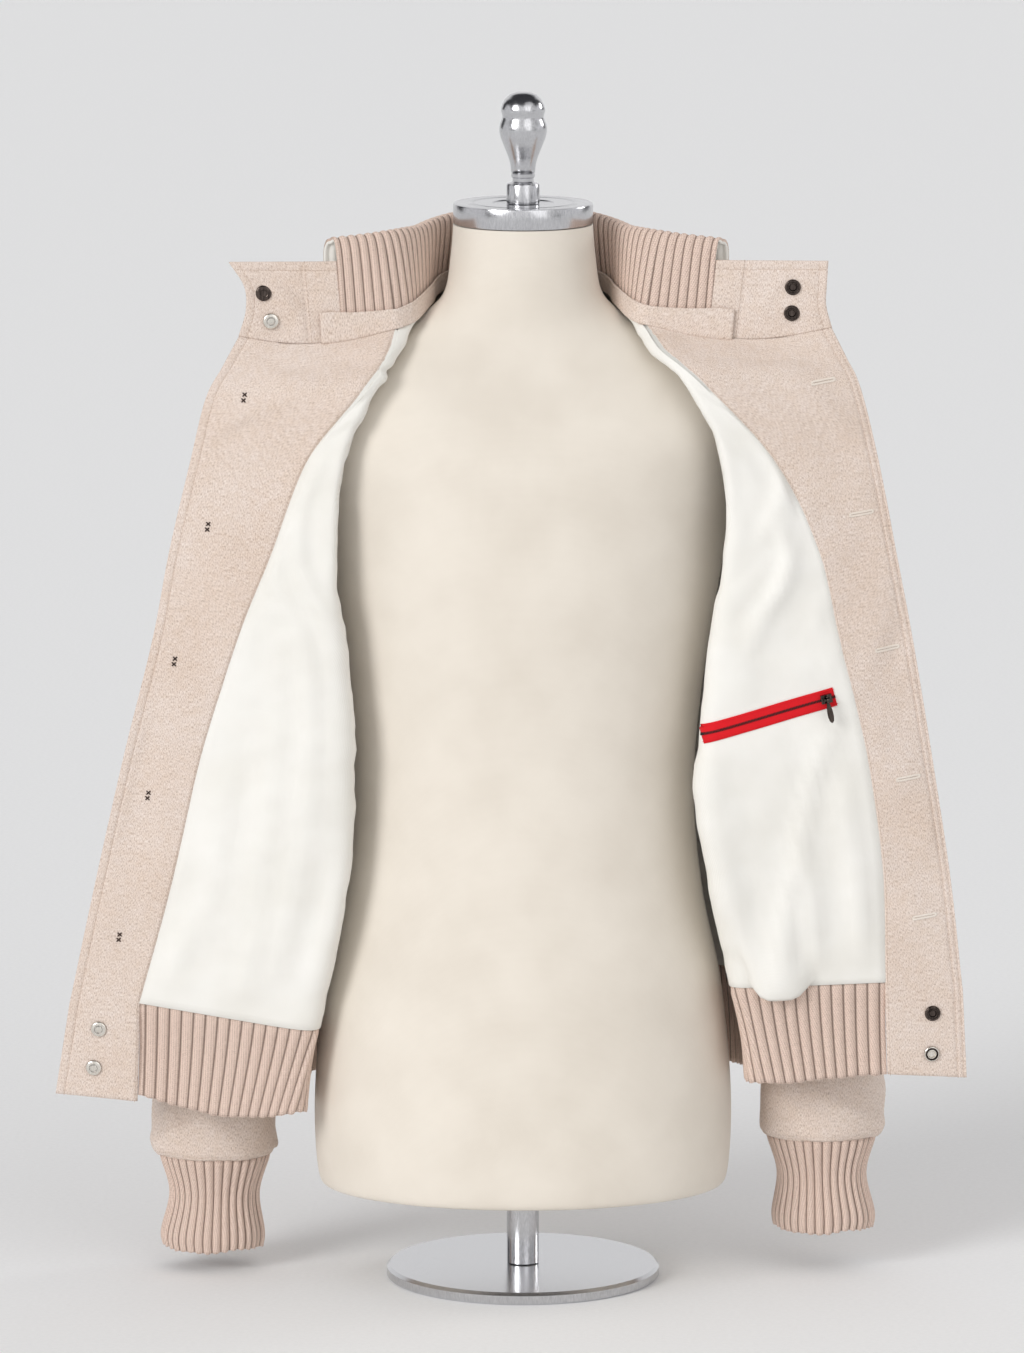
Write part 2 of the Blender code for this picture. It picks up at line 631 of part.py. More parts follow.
def neck_share(seam, side, x):
    """Where along the neck seam a front passes the given x."""
    middle = NECK_STEPS // 2
    part = slice(0, middle) if side == LEFT else slice(middle, NECK_STEPS)
    at = np.arange(NECK_STEPS)[part]
    return np.interp(x, seam[part, 0], at)


def collar_row(lines, places, share, offset, high):
    """A row of collar points: share 0 follows the seam and 1 the soft line."""
    seam, soft = lines
    at = np.arange(NECK_STEPS)
    line = seam + (soft - seam) * share
    beside = level_inward(line)
    row = np.stack([np.interp(places, at, line[:, k]) for k in range(3)], axis=1)
    side = np.stack([np.interp(places, at, beside[:, k]) for k in range(3)], axis=1)
    low = np.interp(places, at, seam[:, 2]) + COLLAR_LIFT
    row += unit(side) * offset
    row[:, 2] = low + (high - low) * share
    return row, unit(side)


def collar_top(line):
    """Height of the collar's fold along its line: lowest at its ends, highest behind."""
    x, y = line[:, 0], line[:, 1]
    at_end = np.clip((np.abs(x) - COLLAR_DROP_FROM) / COLLAR_DROP_OVER, 0, 1)
    behind = np.clip(y / COLLAR_RISE_OVER, 0, 1)
    return (COLLAR_TOP_NECK + (COLLAR_TOP_END - COLLAR_TOP_NECK) * at_end
            + (COLLAR_TOP_BACK - COLLAR_TOP_NECK) * behind)


def make_collar_rib(lines):
    rows, besides = [], []
    for offset, share, past in COLLAR_FOLD:
        reach = past * MM - SEAM
        places = np.linspace(neck_share(lines[0], LEFT, TAB_END_X[LEFT] - reach),
                             neck_share(lines[0], RIGHT, TAB_END_X[RIGHT] + reach),
                             2 * COLLAR_RIBS + 1)
        high = collar_top(collar_row(lines, places, 0, 0, 0)[0])
        row, beside = collar_row(lines, places, share, offset * MM, high)
        rows.append(row)
        besides.append(beside)
    rows = np.array(rows)
    out = unit(np.cross(np.gradient(rows, axis=0), np.gradient(rows, axis=1)))
    out[0] = -besides[0]
    out[-1] = besides[-1]
    half = ribbed(len(places), RIB_THICK, RIB_RAISE)[None, :, None]
    wall("collar_rib", rows + out * half, rows - out * RIB_THICK / 2, "rib")


def make_collar_tabs(lines):
    """Wool ends of the collar, with a shaped front edge."""
    made = {}
    for side, word in ((LEFT, "left"), (RIGHT, "right")):
        edge = 0 if side == LEFT else NECK_STEPS - 1
        places = np.linspace(edge, neck_share(lines[0], side, TAB_END_X[side]), TAB_CELLS + 1)
        rows, beside = [], []
        for share, shift in zip(np.linspace(0, 1, TAB_ROWS + 1), TAB_EDGE[side]):
            row, in_ = collar_row(lines, places, share, 0, TAB_TOP[side])
            row[:, 0] += shift * MM * np.linspace(1, 0, TAB_CELLS + 1) ** 2
            rows.append(row)
            beside.append(in_)
        rows, beside = np.array(rows), np.array(beside)
        wall("collar_tab_" + word, rows, rows + beside * TAB_THICK, "wool")
        made[side] = (rows + beside * TAB_THICK, beside)
    return made


def make_neck_band(lines):
    places = np.linspace(neck_share(lines[0], LEFT, BAND_END_X[LEFT]),
                         neck_share(lines[0], RIGHT, BAND_END_X[RIGHT]), BAND_CELLS + 1)
    top = collar_top(collar_row(lines, places, 0, 0, 0)[0])
    foot, foot_in = collar_row(lines, places, 0, BAND_OFFSET, top)
    peak, peak_in = collar_row(lines, places, 1, BAND_OFFSET, top)
    inner = np.clip((BAND_LOW_FROM - np.abs(foot[:, 0])) / BAND_LOW_OVER, 0, 1)
    high = BAND_HIGH_END + (BAND_HIGH_NECK - BAND_HIGH_END) * inner
    reach = (high / (top - foot[:, 2]))[:, None]
    rows, beside = [], []
    for step in (0, 0.5, 1):
        rows.append(foot + (peak - foot) * reach * step)
        beside.append(unit(foot_in + (peak_in - foot_in) * reach * step))
    rows, beside = np.array(rows), np.array(beside)
    wall("neck_band", rows, rows + beside * BAND_THICK, "wool")


def find_on(grid, x, z):
    """The grid position whose point lies at x and z, seen from the front."""
    rows, cols = grid.shape[:2]
    best = None
    for i in np.linspace(0, rows - 1, (rows - 1) * FIND_STEPS + 1):
        for j in np.linspace(0, cols - 1, (cols - 1) * FIND_STEPS + 1):
            p = read(grid, i, j)
            far = (p[0] - x) ** 2 + (p[2] - z) ** 2
            if best is None or far < best[0]:
                best = (far, i, j)
    return best[1], best[2]


def read(grid, i, j):
    """A point on a grid's own facets, at a position between its rows and columns."""
    r = min(int(i), grid.shape[0] - 2)
    c = min(int(j), grid.shape[1] - 2)
    u, v = i - r, j - c
    a, b, d, e = grid[r, c], grid[r, c + 1], grid[r + 1, c + 1], grid[r + 1, c]
    if v >= u:
        return a + (b - a) * v + (d - b) * u
    return a + (e - a) * u + (d - e) * v


def turned(name, profile, key, sides=TURN_SIDES, place=None, lift=0.0):
    """Spin a profile of radius and height about Z, or about another axis at a place."""
    points, rings = [], []
    for radius, height in profile:
        if radius == 0:
            rings.append([len(points)])
            points.append((0.0, 0.0, height * MM))
            continue
        rings.append(list(range(len(points), len(points) + sides)))
        for k in range(sides):
            turn = 2 * math.pi * k / sides
            points.append((radius * MM * math.cos(turn), radius * MM * math.sin(turn),
                           height * MM))
    faces = []
    for low, high in zip(rings, rings[1:]):
        for k in range(sides):
            m = (k + 1) % sides
            if len(low) == 1:
                faces.append([low[0], high[m], high[k]])
            elif len(high) == 1:
                faces.append([low[k], low[m], high[0]])
            else:
                faces.append([low[k], low[m], high[m], high[k]])
    points = np.array(points)
    if place is not None:
        spot, axis = place
        first = unit(np.cross(axis, (0.0, 0.0, 1.0)))
        second = np.cross(axis, first)
        points = (spot + axis * lift + points[:, :1] * first + points[:, 1:2] * second
                  + points[:, 2:] * axis)
    return add_mesh(name, points, faces, key)


def proud(grid, spot, axis, radius):
    """How far a grid's surface stands up inside a disc laid on it."""
    rows, cols = grid.shape[:2]
    highest = 0.0
    for i in np.linspace(0, rows - 1, (rows - 1) * FEEL_STEPS + 1):
        for j in np.linspace(0, cols - 1, (cols - 1) * FEEL_STEPS + 1):
            away = read(grid, i, j) - spot
            high = away @ axis
            if np.linalg.norm(away - axis * high) < radius and abs(high) < radius:
                highest = max(highest, high)
    return highest


def facet_normal(grid, i, j, normal):
    """The direction square to a grid's facets near a position, on the normal's side."""
    r = min(int(i), grid.shape[0] - 2)
    c = min(int(j), grid.shape[1] - 2)
    a, b, d, e = grid[r, c], grid[r, c + 1], grid[r + 1, c + 1], grid[r + 1, c]
    square = unit(np.cross(d - a, e - b))
    return square * np.sign(square @ read(normal, i, j))


def make_fastenings(layers, tabs):
    """Snaps on facings and collar tabs, and buttons on the outside of the left front."""
    for side, word in ((LEFT, "left"), (RIGHT, "right")):
        for place, (grid, normal), spots in (("hem", layers["facing", side], HEM_SNAPS[side]),
                                             ("collar", tabs[side], TAB_SNAPS[side])):
            for number, (x, z) in enumerate(spots, 1):
                i, j = find_on(grid, x * MM, z * MM)
                axis = facet_normal(grid, i, j, normal)
                capped = side == LEFT
                spot = read(grid, i, j)
                lift = proud(grid, spot, axis, SNAP_REACH) + LAYER_GAP
                turned(f"snap_{place}_{word}_{number}", SNAP_CAP if capped else SNAP_SOCKET,
                       "silver" if (place == "hem" and capped) or number == 2 else "dark",
                       SMALL_SIDES, (spot, axis), lift)
    grid, normal = layers["wool", LEFT]
    for number, (x, z) in enumerate(BUTTONS, 1):
        i, j = find_on(grid[:, FACING_COL:], x * MM, z * MM)
        j += FACING_COL
        axis = -facet_normal(grid, i, j, normal)
        spot = read(grid, i, j)
        near = grid[:, FACING_COL - 2:]
        lift = LAYER_GAP + max(proud(near, spot, axis, BUTTON_FOOT),
                               proud(near, spot, axis, BUTTON_REACH) - BUTTON_FLANGE)
        turned(f"button_{number}", BUTTON, "horn", SMALL_SIDES, (spot, axis), lift)


def block(name, key, frame, centre, size):
    """A box along three axes: the rows of frame."""
    made = [centre + sum(frame[k] * size[k] / 2 * s[k] for k in range(3))
            for s in ((x, y, z) for x in (-1, 1) for y in (-1, 1) for z in (-1, 1))]
    faces = [(0, 1, 3, 2), (4, 6, 7, 5), (0, 4, 5, 1), (2, 3, 7, 6), (0, 2, 6, 4), (1, 5, 7, 3)]
    return add_mesh(name, made, faces, key)


def join(target, other):
    """Union another solid into the target, and drop the other."""
    cutter = target.modifiers.new("union", "BOOLEAN")
    cutter.operation = "UNION"
    cutter.object = other
    graph = bpy.context.evaluated_depsgraph_get()
    mesh = bpy.data.meshes.new_from_object(target.evaluated_get(graph))
    target.modifiers.clear()
    target.data = mesh
    bpy.data.objects.remove(other, do_unlink=True)


def make_zip(layers):
    """Tape, slider and pull of the inner pocket's zip, laid on the right lining."""
    grid, normal = layers["lining", RIGHT]
    start = find_on(grid[:, SIDE_CELLS:], ZIP_START[0] * MM, ZIP_START[1] * MM)
    end = find_on(grid[:, SIDE_CELLS:], ZIP_END[0] * MM, ZIP_END[1] * MM)
    spots = [(start[0] + (end[0] - start[0]) * t, start[1] + (end[1] - start[1]) * t + SIDE_CELLS)
             for t in np.linspace(0, 1, ZIP_CELLS + 1)]
    line = np.array([read(grid, *s) for s in spots])
    out = unit(np.array([read(normal, *s) for s in spots]))
    along = unit(np.gradient(line, axis=0))
    across = unit(np.cross(out, along))
    across *= np.sign(across[:, 2:])
    lift = [proud(grid[:, SIDE_CELLS:], p, o, ZIP_REACH) + LAYER_GAP
            for p, o in zip(line, out)]
    line = line + out * np.array(lift)[:, None]
    rows = np.array([line + across * ZIP_WIDE * s for s in (-0.5, 0.5)])
    wall("zip_tape", rows, rows + out[None] * ZIP_THICK, "tape")

    frame = np.array([along[-1], np.cross(out[-1], along[-1]), out[-1]])
    if frame[1][2] < 0:
        frame[1] *= -1
    seat = line[-1] - along[-1] * SLIDER_BACK + out[-1] * (ZIP_THICK + LAYER_GAP)
    body = block("zip_slider", "dark", frame, seat + frame[2] * SLIDER_THICK / 2,
                 (SLIDER_LONG, SLIDER_WIDE, SLIDER_THICK))
    top = seat + frame[2] * SLIDER_THICK
    rise = BRIDGE_RISE + BRIDGE_BAR / 2
    for end_ in (-1, 1):
        post = block("post", "dark", frame,
                     top + frame[0] * end_ * POST_OUT + frame[2] * (rise - POST_SUNK) / 2,
                     (POST_LONG, BRIDGE_BAR, rise + POST_SUNK))
        join(body, post)
    bar = block("bar", "dark", frame, top + frame[2] * BRIDGE_RISE,
                (BRIDGE_LONG, BRIDGE_BAR, BRIDGE_BAR))
    join(body, bar)
    make_pull(frame, top + frame[2] * BRIDGE_RISE)


def plate(name, key, loops, across, along, square, thick):
    """A flat plate with an outline and perhaps a hole, given across and along it."""
    points, faces = [], []
    for half in (-0.5, 0.5):
        for loop in loops:
            points += [across * a + along * b + square * half * thick for a, b in loop]
    count, holes = len(loops[0]), len(loops) - 1
    top = (holes + 1) * count
    for k in range(count):
        m = (k + 1) % count
        faces.append([k, m, top + m, top + k])
        if holes:
            faces.append([count + m, count + k, top + count + k, top + count + m])
            faces.append([k, count + k, count + m, m])
            faces.append([top + m, top + count + m, top + count + k, top + k])
    if not holes:
        faces += [list(range(count))[::-1], list(range(top, top + count))]
    return add_mesh(name, points, faces, key)


def make_pull(frame, pivot):
    """A pull whose eye rides on the slider's bridge, hanging plumb; its origin is the pivot."""
    bar = frame[0]
    down = np.array((0.0, 0.0, -1.0))
    down = unit(down - bar * (down @ bar))
    front = np.cross(bar, down)
    front *= np.sign(front @ frame[2])
    turns = np.linspace(0, 2 * math.pi, PULL_SIDES, endpoint=False)
    ring_, hole = ([(r * math.cos(t), r * math.sin(t)) for t in turns]
                   for r in (EYE_OUTER, EYE_RADIUS))
    pull = plate("zip_pull", "dark", (ring_, hole), front, down, bar, PULL_THICK)
    long_ = (PULL_LONG - EYE_OUTER) / 2
    middle = PULL_LONG - EYE_OUTER - long_ + EYE_RADIUS / 2
    drop = [(PULL_WIDE / 2 * math.cos(t) * (1 - PULL_TAPER + PULL_TAPER * math.sin(t)),
             middle + (long_ - EYE_RADIUS / 2) * math.sin(t)) for t in turns]
    leaf = plate("leaf", "dark", (drop,), bar, down, front, PULL_THICK)
    join(pull, leaf)
    pull.location = pivot


def make_form():
    """The limbless form with its metal neck plate, finial, pole and base."""
    table = through(np.array(FORM, float), 1)
    points = []
    for z, wide, deep in table:
        for k in range(FORM_SIDES):
            turn = 2 * math.pi * k / FORM_SIDES
            points.append((wide * MM * math.cos(turn), deep * MM * math.sin(turn), z * MM))
    faces = [list(range(FORM_SIDES))[::-1]]
    for i in range(len(table) - 1):
        for k in range(FORM_SIDES):
            m = (k + 1) % FORM_SIDES
            a, b = i * FORM_SIDES, (i + 1) * FORM_SIDES
            faces.append([a + k, a + m, b + m, b + k])
    top = (len(table) - 1) * FORM_SIDES
    faces.append(list(range(top, top + FORM_SIDES)))
    add_mesh("form_torso", points, faces, "form")
    turned("neck_plate", NECK_PLATE, "steel")
    turned("finial", FINIAL, "steel", FINIAL_SIDES)
    turned("stand_base", BASE_PLATE, "steel", BASE_SIDES)
    turned("stand_pole", POLE, "steel", POLE_SIDES)


def smooth_round_pieces():
    for made in bpy.data.objects:
        made.data.shade_smooth()
        made.data.set_sharp_from_angle(angle=math.radians(SHARP_ANGLE))


def main():
    clear_scene()
    fronts, back, seam = body_surfaces()
    normals, back_in = body_normals(fronts, back, seam)
    layers = make_fronts(fronts, normals)
    make_back(back, back_in)
    make_sleeves(fronts, back)
    make_cuffs()
    make_hem(fronts, back)
    lines = neckline(fronts, back)
    make_collar_rib(lines)
    tabs = make_collar_tabs(lines)
    make_neck_band(lines)
    make_fastenings(layers, tabs)
    make_zip(layers)
    make_form()
    smooth_round_pieces()


main()
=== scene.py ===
# %% [markdown]
# # A wool blouson worn open on a dress form
#
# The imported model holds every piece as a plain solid. This notebook dresses them: each cloth
# is made again as a finer thin shell in the place of its solid, with its folds, edges and
# stitches. Metres throughout; +Z is up and -Y faces the viewer. Tables give millimetres.

# %% Load the frame
import json
import math

import bmesh
import bpy
import numpy as np
from mathutils.bvhtree import BVHTree
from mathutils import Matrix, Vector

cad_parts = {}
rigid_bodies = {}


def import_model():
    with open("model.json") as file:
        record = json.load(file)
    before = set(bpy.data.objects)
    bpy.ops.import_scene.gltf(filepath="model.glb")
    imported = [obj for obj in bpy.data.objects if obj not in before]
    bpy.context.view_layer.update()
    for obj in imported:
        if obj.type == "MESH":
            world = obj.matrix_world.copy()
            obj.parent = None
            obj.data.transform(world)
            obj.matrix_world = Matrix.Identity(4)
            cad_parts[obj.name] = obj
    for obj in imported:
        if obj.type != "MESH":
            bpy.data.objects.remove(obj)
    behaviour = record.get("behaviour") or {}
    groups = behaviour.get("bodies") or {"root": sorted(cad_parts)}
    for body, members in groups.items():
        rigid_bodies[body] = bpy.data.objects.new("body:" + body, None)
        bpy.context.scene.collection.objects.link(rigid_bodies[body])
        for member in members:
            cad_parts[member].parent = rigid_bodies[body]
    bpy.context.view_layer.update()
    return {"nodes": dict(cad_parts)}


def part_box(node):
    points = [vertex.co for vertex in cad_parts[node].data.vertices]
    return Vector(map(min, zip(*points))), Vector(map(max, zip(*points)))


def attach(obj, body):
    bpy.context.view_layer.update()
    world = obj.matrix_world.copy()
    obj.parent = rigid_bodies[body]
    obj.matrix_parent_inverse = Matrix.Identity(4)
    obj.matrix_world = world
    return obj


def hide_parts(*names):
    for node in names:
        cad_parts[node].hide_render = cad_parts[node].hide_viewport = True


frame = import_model()
JACKET, PULL = "jacket_and_form", "pull"
MM = 0.001
TURN = 2 * math.pi

# %% [markdown]
# ## The camera
#
# A long lens far away. Its height and aim match the neck plate's ellipse and the cuffs,
# which lie at both ends of the picture.

# %% Camera
def linked(name, data):
    """A new object in the scene."""
    made = bpy.data.objects.new(name, data)
    bpy.context.scene.collection.objects.link(made)
    return made


CAMERA_PLACE, CAMERA_AIM = (-0.0088, -7.0, 1.64), (-0.0088, 0.0, 0.49)
LENS, SENSOR = 235.9, 36
camera = linked("camera", bpy.data.cameras.new("camera"))
camera.data.lens, camera.data.sensor_width = LENS, SENSOR
camera.location = CAMERA_PLACE
gaze = Vector(CAMERA_AIM) - Vector(CAMERA_PLACE)
camera.rotation_euler = gaze.to_track_quat("-Z", "Y").to_euler()
bpy.context.scene.camera = camera
bpy.context.scene.view_settings.view_transform = "Standard"
print("camera looks down by", round(math.degrees(math.asin(-gaze.normalized().z)), 1), "degrees")

# %% [markdown]
# ## Colours and material nodes
#
# Colours are sRGB hex, and one function makes them linear. The others add a node with its
# settings and links in one call, and finish a Principled shader.

# %% Helpers for materials
def linear(text):
    """Linear RGBA from an sRGB hex colour."""
    parts = [int(text[k:k + 2], 16) / 255 for k in (1, 3, 5)]
    return (*(c / 12.92 if c <= 0.04045 else ((c + 0.055) / 1.055) ** 2.4 for c in parts), 1)


def new_material(name):
    """A material with its tree and its Principled shader."""
    made = bpy.data.materials.new(name)
    made.use_nodes = True
    return made, made.node_tree, made.node_tree.nodes["Principled BSDF"]


def add(tree, kind, inputs=None, **settings):
    """Add a node: settings are its own fields, inputs are values or other nodes' sockets."""
    node = tree.nodes.new(kind)
    for key, value in settings.items():
        setattr(node, key, value)
    for key, value in (inputs or {}).items():
        if isinstance(value, bpy.types.NodeSocket):
            tree.links.new(value, node.inputs[key])
        else:
            node.inputs[key].default_value = value
    return node


def calc(tree, operation, *values):
    """The result of a Math node on values or sockets."""
    return add(tree, "ShaderNodeMath", dict(enumerate(values)), operation=operation).outputs[0]


def noise(tree, place, grain, detail, **more):
    """A noise pattern on a place, whose specks are about one grain in size."""
    return add(tree, "ShaderNodeTexNoise", {"Vector": place, "Scale": 1 / grain,
                                            "Detail": detail, **more}).outputs["Fac"]


def ramp(tree, value, *stops):
    """Colour a value by stops of place and colour: the first, the last, then any between."""
    node = add(tree, "ShaderNodeValToRGB", {"Fac": value})
    steps = node.color_ramp.elements
    for number, (place, colour) in enumerate(stops):
        step = steps[number] if number < len(steps) else steps.new(place)
        step.position, step.color = place, linear(colour)
    return node.outputs["Color"]


def mixed(tree, share, first, second, **settings):
    """A Mix node's colour; its sockets for colours are 6 and 7 in, 2 out."""
    return add(tree, "ShaderNodeMix", {0: share, 6: first, 7: second}, data_type="RGBA",
               **settings).outputs[2]


def coordinates(tree, kind):
    return add(tree, "ShaderNodeTexCoord").outputs[kind]


def finish(tree, shader, colour, height=None, strength=0.0, depth=0.0, **values):
    """Link a colour and a bump to a shader and set its other inputs by their names."""
    tree.links.new(colour, shader.inputs["Base Color"])
    if height is not None:
        bump = add(tree, "ShaderNodeBump", {"Height": height, "Strength": strength,
                                            "Distance": depth})
        tree.links.new(bump.outputs["Normal"], shader.inputs["Normal"])
    for key, value in values.items():
        shader.inputs[key.replace("_", " ")].default_value = value


# %% [markdown]
# ## The wool
#
# Milled wool flannel is spun from fibres of several beiges, so near by it is a fine salt and
# pepper, and further off one warm colour that drifts a little. It is matt, with a short nap
# that lights up along edges, which sheen gives, and a faint diagonal twill. Real fibre specks
# are 0.3 mm; they are drawn at 0.7 mm, three times as long, so that they show here.

# %% Wool flannel
SPECK, SLUB, TWILL, DRIFT = 0.7 * MM, 6 * MM, 1.7 * MM, 60 * MM
WAVES_TO_ONE = 0.314        # a wave texture of this scale repeats once a metre


def milled_wool(name, light, mid, dark, twill_share):
    made, tree, shader = new_material(name)
    place, weave = coordinates(tree, "Object"), coordinates(tree, "UV")
    laid = add(tree, "ShaderNodeMapping", {"Vector": weave, "Scale": (1, 0.33, 1)})
    specks = noise(tree, laid.outputs[0], SPECK, 3.0, Roughness=0.8)
    fibres = ramp(tree, specks, (0.30, dark), (0.70, light), (0.5, mid))
    slubs = ramp(tree, noise(tree, place, SLUB, 2.0), (0.30, "#faf7f3"), (0.70, "#ffffff"))
    shades = ramp(tree, noise(tree, place, DRIFT, 1.0), (0.25, "#faf6f2"), (0.75, "#ffffff"))
    colour = mixed(tree, 1.0, fibres, slubs, blend_type="MULTIPLY")
    colour = mixed(tree, 1.0, colour, shades, blend_type="MULTIPLY")
    slanted = add(tree, "ShaderNodeMapping", {"Vector": weave,
                                              "Rotation": (0, 0, math.radians(52))})
    rows = add(tree, "ShaderNodeTexWave", {"Vector": slanted.outputs[0],
                                           "Scale": WAVES_TO_ONE / TWILL, "Distortion": 1.2,
                                           "Detail": 1.0, "Detail Scale": 3.0})
    height = calc(tree, "MULTIPLY_ADD", rows.outputs["Fac"], twill_share, specks)
    finish(tree, shader, colour, height, 0.45, 0.4 * MM, Roughness=0.92, Sheen_Weight=0.3,
           Sheen_Roughness=0.5, Sheen_Tint=linear("#f3e9e0"), Specular_IOR_Level=0.2)
    return made


wool = milled_wool("wool_flannel_beige", "#f5ece6", "#e3d4ca", "#a08a7c", 0.35)
print("wool specks", SPECK / MM, "mm, twill rows", TWILL / MM, "mm apart")

# %% [markdown]
# ## Rib knit
#
# Collar, cuffs and hem are a rib knit: soft ridges about 7.5 mm apart with narrow grooves,
# and columns of little V stitches along them. The ridges are real relief in the mesh, and the
# grooves between them are darkened with painted shade from each point's rib height. The Vs
# come from the piece's own UV map: U runs across the ribs and V up them.

# %% Rib knit material
STITCH_WIDE, STITCH_HIGH = 1.9 * MM, 1.5 * MM
V_LEAN = 1.1                # how steeply the legs of a V rise


def rib_knit(name, light, mid, dark):
    made, tree, shader = new_material(name)
    split = add(tree, "ShaderNodeSeparateXYZ", {"Vector": coordinates(tree, "UV")}).outputs
    column = calc(tree, "PINGPONG", split["X"], STITCH_WIDE / 2)
    leaning = calc(tree, "MULTIPLY_ADD", column, V_LEAN, split["Y"])
    legs = calc(tree, "PINGPONG", leaning, STITCH_HIGH / 2)
    stitch = calc(tree, "MULTIPLY", calc(tree, "MULTIPLY", legs, 2 / STITCH_HIGH),
                  calc(tree, "MULTIPLY", column, 2 / STITCH_WIDE))
    fuzz = noise(tree, coordinates(tree, "Object"), SPECK, 3.0, Roughness=0.7)
    yarn = calc(tree, "MULTIPLY_ADD", stitch, 0.55, fuzz)
    fibres = ramp(tree, yarn, (0.30, dark), (1.0, light), (0.62, mid))
    # Painted shade: the grooves between the ribs are darkened by their low rib height.
    painted_shade = add(tree, "ShaderNodeAttribute", attribute_name="rib_height").outputs["Fac"]
    colour = mixed(tree, 0.85, fibres, ramp(tree, painted_shade, (0.0, "#57463c"), (0.34, "#ffffff")),
                   blend_type="MULTIPLY")
    finish(tree, shader, colour, yarn, 0.6, 0.6 * MM, Roughness=0.9, Sheen_Weight=0.25,
           Sheen_Roughness=0.5, Sheen_Tint=linear("#e8d8cc"), Specular_IOR_Level=0.2)
    return made


ribbing = rib_knit("rib_knit_beige", "#f0dccf", "#dec6b8", "#9d8374")
print("knit stitches", STITCH_WIDE / MM, "x", STITCH_HIGH / MM, "mm")

# %% [markdown]
# ## Lining, jersey, tape and thread
#
# The lining is a soft off-white cotton, the form wears a cream jersey, stretched tight, and
# the zip tape is red. All of them, and the threads, are two crossing waves, multiplied.

# %% Plain woven cloth
def plain_weave(name, light, dark, yarn, roughness, sheen, waviness):
    made, tree, shader = new_material(name)
    weave = coordinates(tree, "UV")
    warp, weft = [add(tree, "ShaderNodeTexWave",
                      {"Vector": weave, "Distortion": waviness, "Detail": 1.0,
                       "Scale": WAVES_TO_ONE / yarn}, bands_direction=way).outputs["Fac"]
                  for way in "XY"]
    both = calc(tree, "MULTIPLY", warp, weft)
    shades = noise(tree, coordinates(tree, "Object"), DRIFT, 3.0)
    tone = calc(tree, "MULTIPLY_ADD", both, 0.5, shades)
    finish(tree, shader, ramp(tree, tone, (0.35, dark), (0.95, light)), both, 0.3, 0.2 * MM,
           Roughness=roughness, Sheen_Weight=sheen, Specular_IOR_Level=0.3)
    return made


cotton, jersey, red_tape, thread, wool_thread, brown_thread = (
    plain_weave(name, light, dark, yarn * MM, *rest) for name, light, dark, yarn, *rest in (
        ("cotton_lining_off_white", "#f4f2ed", "#e8e5dd", 0.7, 0.6, 0.15, 0.3),
        ("jersey_cream", "#ebe3d7", "#ddd4c7", 0.9, 0.8, 0.2, 0.6),
        ("zip_tape_red", "#e6101e", "#bd0a16", 0.8, 0.75, 0.04, 0.2),
        ("sewing_thread_cream", "#f6efe7", "#e6dacd", 0.3, 0.6, 0.3, 0.1),
        ("sewing_thread_beige", "#dccabb", "#bda796", 0.3, 0.6, 0.3, 0.1),
        ("button_thread_brown", "#4a362c", "#2e201a", 0.3, 0.6, 0.0, 0.1)))
print("cloths:", cotton.name, jersey.name, red_tape.name, thread.name)

# %% [markdown]
# ## Metal and horn
#
# The neck plate, finial and stand are turned steel, polished to a near mirror, with faint
# marks of the turning. Snaps and zip are pressed and plated in bright or black nickel. The
# buttons on the outside are streaky dark horn.

# %% Metals and horn
def plated(name, light, dark, roughness, scratch):
    made, tree, shader = new_material(name)
    level = add(tree, "ShaderNodeMapping", {"Vector": coordinates(tree, "Object"),
                                            "Scale": (1, 1, 0.12)})
    marks = noise(tree, level.outputs[0], scratch, 4.0)
    worn = add(tree, "ShaderNodeMapRange", {"Value": marks, 3: roughness * 0.7,
                                            4: roughness * 1.4})
    tree.links.new(worn.outputs["Result"], shader.inputs["Roughness"])
    finish(tree, shader, ramp(tree, marks, (0.25, dark), (0.75, light)), marks, 0.08, 0.1 * MM,
           Metallic=1.0)
    return made


steel = plated("steel_turned_polished", "#dcdcde", "#b4b4b7", 0.2, 0.5 * MM)
bright_nickel = plated("nickel_plate_bright", "#f4f0e9", "#d6cfc4", 0.2, 1 * MM)
black_nickel = plated("nickel_plate_black", "#6a5f59", "#2b2422", 0.16, 1 * MM)

horn, horn_tree, horn_shader = new_material("horn_dark_polished")
grown = add(horn_tree, "ShaderNodeMapping", {"Vector": coordinates(horn_tree, "Object"),
                                             "Scale": (1, 1, 0.25)})
streaks = noise(horn_tree, grown.outputs[0], 2.5 * MM, 5.0, Distortion=1.5)
finish(horn_tree, horn_shader, ramp(horn_tree, streaks, (0.3, "#2c1b12"), (0.8, "#8a6242"),
                                    (0.5, "#523522")), Roughness=0.28, IOR=1.54)
print("metals:", steel.name, bright_nickel.name, black_nickel.name, "and", horn.name)


# %% [markdown]
# ## The body of the jacket as smooth surfaces
#
# The solids were made from a few key points in rows up the garment. Smooth curves through
# the same points, in finer steps, put each shell in the place of its solid.

